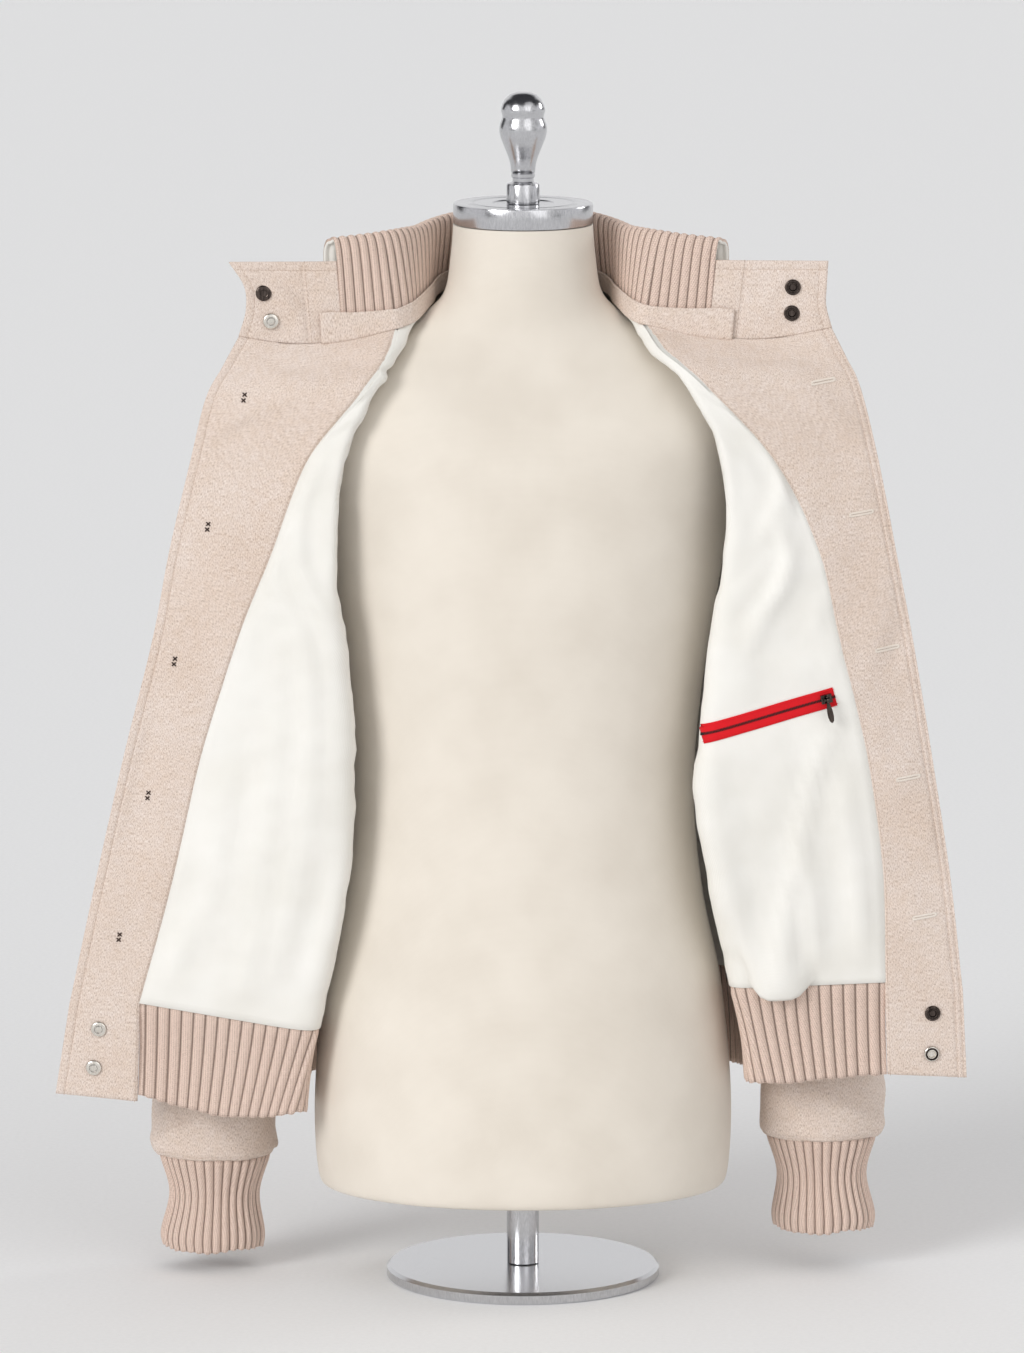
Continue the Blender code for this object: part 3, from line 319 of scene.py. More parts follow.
# %% Key points of the fronts, the back and the sleeves
LEFT, RIGHT = -1, 1
SIDES = ((LEFT, "left"), (RIGHT, "right"))
WOOL_THICK, FACING_THICK, LINING_THICK, LAYER_GAP = 1.8 * MM, 1.6 * MM, 1.1 * MM, 0.3 * MM
FRONT = {
    # side or armhole     roll               facing's inner edge  front edge       sag
    LEFT: [((-178, 20, 226), (-160, -71, 213), (-306, -54, 235), (-362, -46, 233), 0),
           ((-177, 17, 333), (-139, -83, 330), (-278, -62, 337), (-340, -54, 335), 0),
           ((-182, 12, 437), (-134, -89, 437), (-255, -70, 437), (-317, -61, 435), 0),
           ((-193, 2, 545), (-141, -91, 532), (-225, -78, 532), (-293, -65, 530), 0),
           ((-202, -44, 612), (-144, -92, 604), (-197, -80, 604), (-279, -65, 602), 0),
           ((-208, -42, 680), (-139, -90, 676), (-169, -81, 676), (-262, -62, 673), 0),
           ((-221, 0, 742), (-119, -78, 731), (-128, -83, 728), (-250, -58, 721), 0),
           ((-150, 8, 770), (-100, -56, 758), (-107, -64, 756), (-237, -54, 746), 3),
           ((-76, 10, 790), (-89, -35, 780), (-100, -45, 776), (-224, -50, 770), 9)],
    RIGHT: [((178, 20, 245), (164, -71, 250), (289, -54, 252), (351, -46, 244), 0),
            ((177, 17, 340), (147, -82, 340), (286, -61, 343), (340, -53, 337), 0),
            ((182, 12, 440), (134, -89, 440), (272, -71, 440), (324, -61, 437), 0),
            ((193, 2, 548), (144, -92, 540), (250, -78, 532), (308, -65, 530), 0),
            ((204, -44, 615), (156, -92, 608), (232, -79, 606), (294, -65, 602), 0),
            ((210, -42, 683), (153, -89, 680), (197, -79, 676), (280, -62, 673), 0),
            ((224, 0, 744), (127, -79, 737), (143, -81, 735), (266, -58, 729), 0),
            ((152, 8, 770), (102, -56, 761), (112, -65, 760), (255, -54, 753), 4),
            ((76, 10, 790), (88, -32, 782), (96, -43, 779), (243, -50, 777), 11)],
}
BACK = [
    # left edge        right edge        middle y, z  power
    (None, None, 132, 236, 0.75), (None, None, 131, 338, 0.75), (None, None, 132, 440, 0.75),
    (None, None, 138, 546, 0.75), ((-204, 56, 615), (206, 56, 618), 139, 620, 0.85),
    ((-207, 58, 682), (209, 58, 685), 131, 692, 0.9), (None, None, 112, 746, 1.0),
    (None, None, 92, 778, 1.0), (None, None, 70, 803, 1.0),
]
PLACKET_FOOT = {LEFT: ((-309, -48, 154), (-374, -40, 159)),
                RIGHT: ((292, -48, 176), (355, -40, 172))}
HEM_FOOT = {LEFT: ((-182, 18, 150), (-173, -66, 146), (-308, -48, 159)),
            RIGHT: ((182, 18, 166), (180, -66, 172), (291, -48, 177))}
SLEEVE = [
    # x in, x out, front, back, z in, z out
    (-199, -242, -50, 63, 534, 708), (-199, -266, -49, 72, 488, 606),
    (-197, -280, -42, 76, 436, 500), (-198, -292, -30, 76, 356, 386),
    (-200, -298, -20, 74, 272, 284), (-202, -297, -10, 72, 165, 166),
    (-200, -299, -8, 71, 108, 108), (-202, -297, -6, 69, 97, 97), (-205, -294, -3, 66, 94, 94),
]
CUFF = [(-206, -293, -3, 65, 93.4), (-215, -285, 4, 59, 62), (-211, -292, 1, 62, 30),
        (-212, -291, 2, 61, 18)]
SLEEVE_LIFT = {LEFT: 0.0, RIGHT: 16 * MM}
SLEEVE_DROP = 0.55, 0.45    # a sleeve's lift begins at this height, and takes this much of it
SLEEVE_SET = 8 * MM         # how far the right cuff hangs out
ROW_STEPS = 16              # fine rows between two rows of the tables
STRETCH = 20                # fine columns between two key points of a front's row
UNDERARM, SHOULDER, BACK_CELLS = 3 * ROW_STEPS, 6 * ROW_STEPS, 112
FACING_COL = 2 * STRETCH
ROLL_SOFTENING = 18         # times that a front's row is evened out round its roll
print("fine rows up the body:", 8 * ROW_STEPS + 1)


# %% Curves through key points
def unit(v):
    return v / np.maximum(np.linalg.norm(v, axis=-1, keepdims=True), 1e-12)


def through(keys, steps):
    """Smooth curve through rows of key points, with steps pieces between two of them."""
    keys = np.asarray(keys, float)
    ends = np.concatenate([2 * keys[:1] - keys[1:2], keys, 2 * keys[-1:] - keys[-2:-1]])
    made = []
    for k in range(1, len(ends) - 2):
        p0, p1, p2, p3 = ends[k - 1:k + 3]
        made += [0.5 * (2 * p1 + (p2 - p0) * t + (2 * p0 - 5 * p1 + 4 * p2 - p3) * t**2
                        + (3 * p1 - 3 * p2 + p3 - p0) * t**3) for t in np.arange(steps) / steps]
    made.append(keys[-1])
    return np.array(made)


def softened(line, times):
    """A line of points with its middle ones evened out, and its ends kept."""
    line = line.copy()
    for _ in range(times):
        line[1:-1] = (line[:-2] + 2 * line[1:-1] + line[2:]) / 4
    return line


def at_places(line, places, at):
    """Points of a line at places, where at holds the place of each of its own points."""
    return np.stack([np.interp(places, at, line[:, k]) for k in range(3)], axis=1)


def front_row(side, roll, facing, edge, sag):
    """One row of a front: side seam, round the roll, facing's inner edge, front edge."""
    keys = [np.array(p, float) * MM for p in (side, roll, facing, edge)]
    line = [keys[0]]
    for start, end in zip(keys, keys[1:]):
        line += [start + (end - start) * t for t in np.arange(1, STRETCH + 1) / STRETCH]
    line = np.array(line)
    line[FACING_COL:, 2] -= sag * MM * np.sin(math.pi * np.linspace(0, 1, STRETCH + 1))
    weight = np.ones(len(line))
    half_way = 3 * STRETCH // 2
    weight[half_way:FACING_COL + 1] = np.linspace(1, 0, FACING_COL + 1 - half_way)
    weight[FACING_COL:] = 0
    return line + (softened(line, ROLL_SOFTENING) - line) * weight[:, None]


def back_row(left, right, middle_y, middle_z, power):
    """One row of the back, from the left edge round to the right edge."""
    left, right = np.array(left, float), np.array(right, float)
    t = np.linspace(0, math.pi, BACK_CELLS + 1)[:, None]
    rise = np.abs(np.sin(t)) ** power
    base = left + (right - left) * (t / math.pi)
    x = np.where(t < math.pi / 2, left[0], right[0]) * np.abs(np.cos(t)) ** power
    made = np.hstack([x, base[:, 1:2] + (middle_y - base[:, 1:2]) * rise,
                      base[:, 2:] + (middle_z - base[:, 2:]) * rise])
    made[0], made[-1] = left, right
    return made * MM


def inward(grid, sign, wrap=False):
    """Unit vectors at a grid's points that point into the garment."""
    across = ((np.roll(grid, -1, axis=1) - np.roll(grid, 1, axis=1)) / 2 if wrap
              else np.gradient(grid, axis=1))
    return unit(np.cross(across, np.gradient(grid, axis=0))) * sign


def size_of(uv):
    """The width and height of a flat map in whole mm."""
    return np.round(uv.max(axis=(0, 1)) / MM)


# %% Surfaces of the body
front_surface = {side: through([front_row(*row) for row in FRONT[side]], ROW_STEPS)
                 for side, _ in SIDES}
back_keys = []
for number, (left_edge, right_edge, middle_y, middle_z, power) in enumerate(BACK):
    back_keys.append(back_row(left_edge or FRONT[LEFT][number][0],
                              right_edge or FRONT[RIGHT][number][0],
                              middle_y, middle_z, power))
back_surface = through(back_keys, ROW_STEPS)
seam_rows = [k for k in range(len(back_surface)) if k <= UNDERARM or k >= SHOULDER]
back_surface[seam_rows, 0] = front_surface[LEFT][seam_rows, 0]
back_surface[seam_rows, -1] = front_surface[RIGHT][seam_rows, 0]
front_in = {side: inward(front_surface[side], side) for side, _ in SIDES}
back_in = inward(back_surface, 1)
for side, col in ((LEFT, 0), (RIGHT, -1)):
    shared = unit(front_in[side][seam_rows, 0] + back_in[seam_rows, col])
    front_in[side][seam_rows, 0] = shared
    back_in[seam_rows, col] = shared
for normals in (*front_in.values(), back_in):
    normals[0, :, 2] = np.maximum(normals[0, :, 2], 0)
    normals[-1, :, 2] = np.minimum(normals[-1, :, 2], 0)
    normals[[0, -1]] = unit(normals[[0, -1]])
print("front grid", front_surface[LEFT].shape[:2], "back grid", back_surface.shape[:2])

# %% [markdown]
# ## Folds and shells
#
# A fold in cloth is a soft ridge or trough that swells and dies out. Each is one row of a
# table: where it starts and ends on the cloth's own flat map, how deep it is, how wide, and
# how much its line bows. A little seeded drift is added, so that no cloth is quite flat. A
# shell is the cloth's two faces with a rounded rim between them, and its UV map is that flat
# map in metres, so that a weave keeps its scale.
# No cloth simulation is run: a free one would move the turned back fronts off their solids.

# %% Fold and shell helpers
def flat_map(grid, wrap=False):
    """Distances across and up a grid in metres, as a flat cloth would measure them."""
    closed = np.concatenate([grid, grid[:, :1]], axis=1) if wrap else grid
    across = np.linalg.norm(np.diff(closed, axis=1), axis=2)
    up = np.linalg.norm(np.diff(closed, axis=0), axis=2)
    u = np.concatenate([np.zeros((len(grid), 1)), np.cumsum(across, axis=1)], axis=1)
    v = np.concatenate([np.zeros((1, closed.shape[1])), np.cumsum(up, axis=0)])
    return np.stack([u, np.repeat(v.mean(axis=1)[:, None], closed.shape[1], axis=1)], axis=2)


STEEP_SIDE, SOFT_SIDE = 0.75, 1.35      # a fold falls off faster on one side of its line
FOLD_OPENS = (0.75, 0.5)                # its width where it starts, and what it gains
FOLD_CAP = 0.6                          # how far it runs past its ends, in widths
DRIFT_WAVES = 9


def folds(place, table):
    """Depth in metres at points of a flat map (mm): rows of start, end, depth, width, bow."""
    total = np.zeros(place.shape[:2])
    for start, end, depth, width, bow in table:
        start, end = np.array(start, float), np.array(end, float)
        along = end - start
        length = np.linalg.norm(along)
        along /= length
        side_way = np.array((-along[1], along[0]))
        away = place - start
        share = np.clip(away @ along / length, 0, 1)
        beyond = away @ along - share * length
        off = away @ side_way - bow * np.sin(math.pi * share)
        wide = (width * np.where(off > 0, SOFT_SIDE, STEEP_SIDE)
                * (FOLD_OPENS[0] + FOLD_OPENS[1] * share))
        swell = np.sin(math.pi * (0.1 + 0.8 * share))
        total += depth * MM * swell * np.exp(-(off / wide) ** 2
                                             - (beyond / (FOLD_CAP * width)) ** 2)
    return total


def drift(place, height, wave, seed):
    """Soft unevenness in metres from a few crossing waves of about one length in mm."""
    rng = np.random.default_rng(seed)
    total = np.zeros(place.shape[:2])
    for _ in range(DRIFT_WAVES):
        turn = rng.uniform(0, math.pi)
        number = TURN / (wave * rng.uniform(0.6, 1.7))
        phase = place[..., 0] * math.cos(turn) * number + place[..., 1] * math.sin(turn) * number
        total += np.sin(phase + rng.uniform(0, TURN))
    return total * height * MM / math.sqrt(DRIFT_WAVES)


def eased(t):
    """A share from 0 to 1 with soft ends."""
    t = np.clip(t, 0, 1)
    return t * t * (3 - 2 * t)


def fade(rows, cols, left, right, foot, top):
    """Share that falls smoothly to zero toward the chosen borders of a grid."""
    j, i = np.meshgrid(np.arange(cols, dtype=float), np.arange(rows, dtype=float))
    share = np.ones((rows, cols))
    for cells, away in ((left, j), (right, cols - 1 - j), (foot, i), (top, rows - 1 - i)):
        if cells:
            share *= eased(away / cells)
    return share


def new_mesh(name, points, edges, faces, maps=(), sharp=None):
    """A smooth mesh, with a flat map of its corners and edges sharp from an angle on."""
    mesh = bpy.data.meshes.new(name)
    mesh.from_pydata(points, edges, faces)
    if len(maps):
        mesh.uv_layers.new(name="flat").data.foreach_set("uv", np.array(maps, float).ravel())
    mesh.shade_smooth()
    if sharp:
        mesh.set_sharp_from_angle(angle=math.radians(sharp))
    return mesh


def put_in_scene(name, mesh, material, replaced, body=JACKET):
    """Link a finished mesh, let it ride on its body and stand for its solids."""
    made = linked(name, mesh)
    if material:
        mesh.materials.append(material)
    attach(made, body)
    if replaced:
        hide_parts(*replaced)
    return made


def outward(mesh):
    """Drop points that no face uses, and turn all faces outward."""
    work = bmesh.new()
    work.from_mesh(mesh)
    bmesh.ops.delete(work, geom=[v for v in work.verts if not v.link_faces], context="VERTS")
    bmesh.ops.recalc_face_normals(work, faces=work.faces[:])
    work.to_mesh(mesh)
    work.free()


ROUNDING = 0.35             # how far a rim's middle stands out, as a share of the thickness


def shell(name, outer, inner, uv, material, replaced=(), wrap=False, cells=None,
          backing=None):
    """A cloth piece from its two faces, as grids of points, with a rounded rim between.

    A backing is a second material, which the inner face gets.
    """
    rows, cols = outer.shape[:2]
    across = cols if wrap else cols - 1
    cells = np.ones((rows - 1, across), bool) if cells is None else cells
    faces, maps, inner_faces = [], [], []
    layer = rows * cols

    def number(side, i, j):
        return side * layer + i * cols + j % cols

    rim_points, rim_index = [], {}

    def rim(i, j, inside):
        key = (i, j % cols)
        if key not in rim_index:
            a, b = outer[i, j % cols], inner[i, j % cols]
            out = a - inside
            out -= (a - b) * (out @ (a - b)) / max((a - b) @ (a - b), 1e-12)
            rim_index[key] = 2 * layer + len(rim_points)
            rim_points.append((a + b) / 2 + unit(out) * np.linalg.norm(a - b) * ROUNDING)
        return rim_index[key]

    for i, j in zip(*np.nonzero(cells)):
        corners = ((i, j), (i, j + 1), (i + 1, j + 1), (i + 1, j))
        faces.append([number(0, *c) for c in corners])
        inner_faces.append(len(faces))
        faces.append([number(1, *c) for c in corners[::-1]])
        maps += [uv[c] for c in corners] + [uv[c] for c in corners[::-1]]
        for (ni, nj), p, q in (((i - 1, j), corners[0], corners[1]),
                               ((i, j + 1), corners[1], corners[2]),
                               ((i + 1, j), corners[2], corners[3]),
                               ((i, j - 1), corners[3], corners[0])):
            nj = nj % across if wrap else nj
            if 0 <= ni < rows - 1 and 0 <= nj < across and cells[ni, nj]:
                continue
            inside = (outer[i, j % cols] + outer[i + 1, (j + 1) % cols]) / 2
            mid_p, mid_q = rim(*p, inside), rim(*q, inside)
            faces.append([number(0, *q), number(0, *p), mid_p, mid_q])
            faces.append([mid_q, mid_p, number(1, *p), number(1, *q)])
            maps += [uv[q], uv[p], uv[p], uv[q]] * 2
    points = np.concatenate([outer.reshape(-1, 3), inner.reshape(-1, 3), rim_points])
    mesh = new_mesh(name, points, [], faces, maps)
    outward(mesh)
    made = put_in_scene(name, mesh, material, replaced)
    if backing:
        mesh.materials.append(backing)
        for k in inner_faces:
            mesh.polygons[k].material_index = 1
    return made

# %% [markdown]
# ## Fronts, facings and linings
#
# Each front is worn turned back, so the viewer sees its inside: the wool facing along the
# edge, and the lining from the facing round to the side. The main creases were read off the
# picture. Their places are millimetres across from the side seam and up from the hem seam.

# %% Fold tables of the fronts
FRONT_FOLDS = {
    LEFT: [((205, 500), (262, 330), 2.6, 26, 6), ((150, 420), (180, 250), 2.2, 22, 4),
           ((255, 330), (262, 120), -1.8, 18, 3), ((200, 180), (250, 60), 1.6, 20, 0),
           ((170, 540), (240, 470), 1.5, 16, 0)],
    RIGHT: [((190, 520), (235, 360), 2.8, 26, 6), ((250, 420), (236, 200), -1.9, 18, 3),
            ((225, 300), (262, 120), 1.8, 22, 0), ((180, 560), (230, 500), 1.4, 15, 0)],
}
LINING_FOLDS = {
    # start         end         depth, width, bow
    LEFT: [((92, 455), (97, 40), 3.2, 11, 3), ((114, 430), (130, 26), 2.8, 12, 5),
           ((140, 340), (162, 18), 2.4, 13, 6), ((186, 230), (198, 20), 1.8, 12, 3),
           ((102, 210), (112, 10), -2.0, 9, 0), ((120, 570), (110, 480), 2.0, 7, 0),
           ((150, 90), (146, 6), 1.8, 7, 0), ((205, 80), (212, 6), 1.6, 7, 0)],
    RIGHT: [((122, 480), (86, 375), 3.0, 8, 4), ((98, 380), (130, 282), 3.2, 8, 4),
            ((204, 218), (113, 8), 3.4, 6, 2), ((182, 190), (97, 20), -2.5, 10, 2),
            ((112, 250), (100, 30), 1.6, 10, -6), ((100, 190), (90, 34), 3.0, 9, 3),
            ((208, 170), (192, 16), 2.6, 11, 4), ((168, 120), (150, 10), 2.8, 7, 2),
            ((190, 330), (204, 240), 2.0, 12, 4), ((150, 420), (176, 300), 2.0, 12, 5)],
}
# A slack pouch of the right lining hangs over the rib: how far the first rows over the hem
# seam drop and stand out, in mm, round the middle of the pouch.
POUCH_MIDDLE, POUCH_HALF = 122.0, 25.0
POUCH_DROP = (0, 12, 20, 23, 21, 17.5, 14, 11, 8, 6, 4, 2.5, 1.5, 0.7, 0)
POUCH_OUT = (0, 4.5, 7, 8, 8, 7.5, 6.5, 5.5, 4.5, 3.5, 2.6, 1.8, 1.2, 0.6, 0)
ZIP_FROM, ZIP_TO = np.array((141.5, 457.8)), np.array((246.5, 487.5))
PLACKET_ROWS = 24


def with_placket(grid, normals, side):
    """Add the rows below the hem seam, which only the facing's columns use."""
    foot = np.array(PLACKET_FOOT[side], float) * MM
    share = np.linspace(0, 1, STRETCH + 1)[:, None]
    low = grid[0].copy()
    low[FACING_COL:] = foot[0] + (foot[1] - foot[0]) * share
    t = (np.arange(PLACKET_ROWS) / PLACKET_ROWS)[:, None, None]
    return (np.concatenate([low + (grid[0] - low) * t, grid]),
            np.concatenate([np.repeat(normals[:1], PLACKET_ROWS, axis=0), normals]))


def placket_map(tall):
    """The flat map of a front with its placket, whose rows only the facing's columns use."""
    flat, foot = flat_map(tall), flat_map(tall[:PLACKET_ROWS + 1, FACING_COL:])
    flat[PLACKET_ROWS:, :, 1] += foot[-1, 0, 1] - flat[PLACKET_ROWS, 0, 1]
    flat[:PLACKET_ROWS, FACING_COL:, 0] = foot[:-1, :, 0] + flat[PLACKET_ROWS, FACING_COL, 0]
    flat[:PLACKET_ROWS, :, 1] = foot[:-1, :1, 1]
    return flat


def pressed_edge(distance, line_at, depth):
    """A stitched edge in cloth: pressed down along its seam line, fuller on both sides."""
    return -depth * np.exp(-((distance - line_at) / (1.3 * MM)) ** 2)


EDGE_STITCH, INNER_STITCH = 7 * MM, 2.2 * MM       # topstitches, in from the front edge
EDGE_DIP, SEAM_DIP = 0.7 * MM, 0.5 * MM
FINE_CELLS, FINE_STEPS = 5, 8     # cells by the edge that are cut finer, to hold the dip
FOLD_DEPTH = {"front": 1.4, "lining": 2.0, "back": 2.6, "sleeve": 1.4}
BACK_DEEPEST = -4 * MM
ZIP_CALM = 9, 16            # mm round the zip without folds, and mm over which they begin
LINING_LIFT, LINING_TROUGH = 1.0 * MM, -1.5 * MM


def finer_edge(grid):
    """A grid whose last cells across are cut finer."""
    last = grid.shape[1] - 1
    at = np.concatenate([np.arange(last - FINE_CELLS),
                         np.linspace(last - FINE_CELLS, last, FINE_CELLS * FINE_STEPS + 1)])
    low = np.minimum(at.astype(int), last - 1)
    part = (at - low)[None, :, None]
    return grid[:, low] * (1 - part) + grid[:, low + 1] * part


# %% Wool fronts with their facings
faces_of = {}
base = WOOL_THICK + LAYER_GAP
for side, word in SIDES:
    grid, normals = front_surface[side], front_in[side]
    rows, cols = grid.shape[:2]
    place = flat_map(grid) / MM
    relief = FOLD_DEPTH["front"] * folds(place, FRONT_FOLDS[side])
    relief += drift(place, 0.7, 60, 11 + side)
    grid = grid + normals * (relief * fade(rows, cols, 8, 6, 12, 12))[..., None]
    tall, tall_in = with_placket(grid, normals, side)
    tall_uv = placket_map(tall)
    cells = np.ones((len(tall) - 1, cols - 1), bool)
    cells[:PLACKET_ROWS, :FACING_COL] = False
    to_edge = tall_uv[:, -1:, 0] - tall_uv[..., 0]
    dip = pressed_edge(to_edge, EDGE_STITCH, EDGE_DIP)[..., None]
    outer = tall - tall_in * dip
    shell("wool_front_" + word, outer, outer + tall_in * WOOL_THICK, tall_uv, wool,
          ["front_" + word], cells=cells)
    strip, strip_in = finer_edge(tall[:, FACING_COL:]), unit(finer_edge(tall_in[:, FACING_COL:]))
    strip_uv = finer_edge(tall_uv[:, FACING_COL:])
    from_seam = strip_uv[..., 0] - strip_uv[:, :1, 0]
    from_edge = strip_uv[:, -1:, 0] - strip_uv[..., 0]
    dip = pressed_edge(from_edge, EDGE_STITCH, EDGE_DIP) + pressed_edge(from_seam, 0, SEAM_DIP)
    if side == RIGHT:
        dip += pressed_edge(from_edge, INNER_STITCH, SEAM_DIP)
    dip -= drift(strip_uv / MM, 0.12, 14, 51 + side)
    top_face = strip + strip_in * (base + FACING_THICK + dip)[..., None]
    shell("wool_facing_" + word, strip + strip_in * base, top_face, strip_uv, wool,
          ["facing_" + word])
    faces_of["facing", side] = (top_face, strip_in)
    faces_of["wool", side] = (outer, tall_in)
    faces_of["base", side] = (grid, normals, place)
    print(word, "front:", size_of(tall_uv), "mm across and up")

# %% Linings
for side, word in SIDES:
    grid, normals, place = faces_of["base", side]
    body, body_in = grid[:, :FACING_COL + 1], normals[:, :FACING_COL + 1]
    rows, cols = body.shape[:2]
    near = place[:, :cols]
    relief = np.maximum(FOLD_DEPTH["lining"] * folds(near, LINING_FOLDS[side]), LINING_TROUGH)
    relief += LINING_LIFT + drift(near, 0.5, 28, 31 + side)
    if side == RIGHT:
        spots, zip_run = body[..., (0, 2)] / MM - ZIP_FROM, ZIP_TO - ZIP_FROM
        share = np.clip(spots @ zip_run / (zip_run @ zip_run), 0, 1)
        away = np.linalg.norm(spots - share[..., None] * zip_run, axis=2)
        relief *= eased((away - ZIP_CALM[0]) / ZIP_CALM[1])
    relief = np.maximum(relief, 0) * fade(rows, cols, 6, 3, 4, 6)
    under = body + body_in * (base + relief[..., None])
    if side == RIGHT:
        swell = np.clip(1 - ((near[..., 0] - POUCH_MIDDLE) / POUCH_HALF) ** 4, 0, 1)
        for number, (drop, stand) in enumerate(zip(POUCH_DROP, POUCH_OUT)):
            part = swell[number][:, None] * MM
            under[number] += body_in[number] * stand * part
            under[number, :, 2] -= drop * part[:, 0]
    shell("lining_front_" + word, under, under + body_in * LINING_THICK,
          flat_map(body), cotton, ["lining_" + word])
    faces_of["lining", side] = (under + body_in * LINING_THICK, body_in)
print("linings laid on both fronts")

# %% [markdown]
# ## The back
#
# The back hangs from the shoulders and blouses a little over the rib. It has long soft
# vertical folds below the shoulder blades, and small ones just above the rib, where the
# cloth is eased onto it.

# %% Back
BACK_FOLDS = [((150, 470), (170, 60), 3.0, 15, 10), ((400, 480), (372, 80), -2.6, 16, -8),
              ((262, 420), (252, 40), 1.8, 13, 6), ((90, 300), (110, 40), 2.2, 10, 4),
              ((470, 320), (452, 30), 2.4, 10, -4), ((320, 240), (330, 20), -1.6, 9, 0),
              ((210, 90), (214, 8), 1.6, 6, 0), ((300, 80), (296, 8), 1.8, 6, 0),
              ((365, 100), (370, 8), 1.5, 6, 0), ((140, 80), (136, 8), 1.6, 6, 0)]
rows, cols = back_surface.shape[:2]
back_uv = flat_map(back_surface)
relief = FOLD_DEPTH["back"] * folds(back_uv / MM, BACK_FOLDS) + drift(back_uv / MM, 1.0, 70, 5)
relief = np.maximum(relief, BACK_DEEPEST)
grid = back_surface - back_in * (relief * fade(rows, cols, 8, 8, 6, 10))[..., None]
shell("wool_back", grid, grid + back_in * WOOL_THICK, back_uv, wool, ["back"],
      backing=cotton)
print("back:", size_of(back_uv), "mm")

# %% [markdown]
# ## Sleeves
#
# A set-in sleeve hangs from its armhole almost straight. Rings of points, wider above and
# level below, follow its solid. Its folds run slantwise round the elbow and gather small
# and short above the cuff, where the cloth is fuller than the knit that holds it.

# %% Sleeves
SLEEVE_FOLDS = {
    # round from the body side by the front, and down from the shoulder
    LEFT: [((60, 180), (150, 300), 3.2, 12, 8), ((30, 300), (120, 420), 2.6, 10, 6),
           ((150, 120), (190, 300), -2.4, 12, 5), ((90, 430), (170, 500), 2.8, 9, 5),
           ((200, 360), (260, 480), 2.2, 10, 4), ((300, 200), (250, 380), 2.4, 12, 5),
           ((70, 520), (150, 552), 2.4, 7, 3), ((170, 470), (120, 560), 1.8, 6, 2),
           ((220, 520), (280, 556), 2.0, 7, 2), ((110, 60), (140, 170), 2.0, 10, 4)],
    RIGHT: [((70, 200), (160, 330), 3.0, 12, -8), ((40, 330), (130, 440), 2.4, 10, 6),
            ((160, 130), (180, 320), -2.6, 12, 5), ((80, 440), (160, 510), 2.6, 9, -5),
            ((210, 350), (260, 500), 2.2, 10, 4), ((300, 220), (250, 400), 2.4, 12, 5),
            ((60, 500), (140, 540), 3.0, 7, 3), ((170, 480), (110, 556), 2.2, 6, 2),
            ((110, 70), (150, 180), 2.0, 10, 4)],
}


def ring(x_in, x_out, front, back, z_in, z_out, turn):
    """One ring of a sleeve: body side first, then front, outside and back."""
    across, deep = np.cos(turn), np.sin(turn)
    return np.stack([(x_in + x_out) / 2 + (x_in - x_out) / 2 * across,
                     (front + back) / 2 - (back - front) / 2 * deep,
                     (z_in + z_out) / 2 + (z_in - z_out) / 2 * across], axis=1) * MM


def placed(rings, side):
    """Put rings on their own side of the body, with the right sleeve's lift and set."""
    drop = ((SLEEVE_DROP[0] - rings[..., 2]) / SLEEVE_DROP[1]).clip(0, 1)
    if side == RIGHT:
        rings[..., 0] = -rings[..., 0] - SLEEVE_SET * drop
    rings[..., 2] += SLEEVE_LIFT[side] * drop
    return rings


def armhole(front, back, col, count):
    """Points round an armhole: underarm, up the front, shoulder, down the back."""
    up = front[UNDERARM:SHOULDER + 1, 0]
    down = back[UNDERARM + 1:SHOULDER, col][::-1]
    loop = np.concatenate([up, down])[::ROW_STEPS // 2]
    loop = np.concatenate([loop, loop[:1]])
    share = np.arange(count) / count * (len(loop) - 1)
    return at_places(loop, share, np.arange(len(loop)))


ROUND, SLEEVE_STEPS = 96, 12
turn = np.arange(ROUND) * TURN / ROUND
for side, word in SIDES:
    col = 0 if side == LEFT else -1
    start = armhole(front_surface[side], back_surface, col, ROUND)
    start[:, 0] += side * 0.5 * MM
    keys = placed(np.array([ring(*row, turn) for row in SLEEVE]), side)
    upper = [start + (keys[0] - start) * t for t in np.arange(SLEEVE_STEPS) / SLEEVE_STEPS]
    rings = np.concatenate([upper, through(keys, SLEEVE_STEPS)])
    middle = rings.mean(axis=1, keepdims=True)
    normals = inward(rings, 1, wrap=True)
    normals *= np.sign(np.sum(normals * (middle - rings), axis=2, keepdims=True))
    uv = flat_map(rings, wrap=True)
    place = uv[:, :ROUND] / MM
    relief = FOLD_DEPTH["sleeve"] * folds(place, SLEEVE_FOLDS[side])
    relief += drift(place, 0.8, 50, 71 + side)
    rings = rings - normals * (relief * fade(len(rings), ROUND, 0, 0, 16, 4))[..., None]
    shell("wool_sleeve_" + word, rings, rings + normals * WOOL_THICK, uv, wool,
          ["sleeve_" + word], wrap=True, backing=cotton)
    print(word, "sleeve:", size_of(uv), "mm round and down")

# %% [markdown]
# ## Knitted ribs
#
# Ribs follow a rule, so Geometry Nodes raise them: each point of a smooth knit piece carries
# the number of its rib, and the tree lifts the point along its normal by a rounded wave of
# that number. The same tree serves the cuffs, the hem and the collar.

# %% A node tree that raises ribs
RIB_PITCH = 7.6 * MM
FATNESS = 0.6               # a power under 1 makes ridges fat and grooves narrow


def new_tree(name, sockets, result):
    """A Geometry Nodes tree with its inputs by name and kind, and one output."""
    tree = bpy.data.node_groups.new(name, "GeometryNodeTree")
    for label, kind in sockets:
        tree.interface.new_socket(label, in_out="INPUT", socket_type="NodeSocket" + kind)
    tree.interface.new_socket(result, in_out="OUTPUT", socket_type="NodeSocketGeometry")
    return tree, add(tree, "NodeGroupInput").outputs


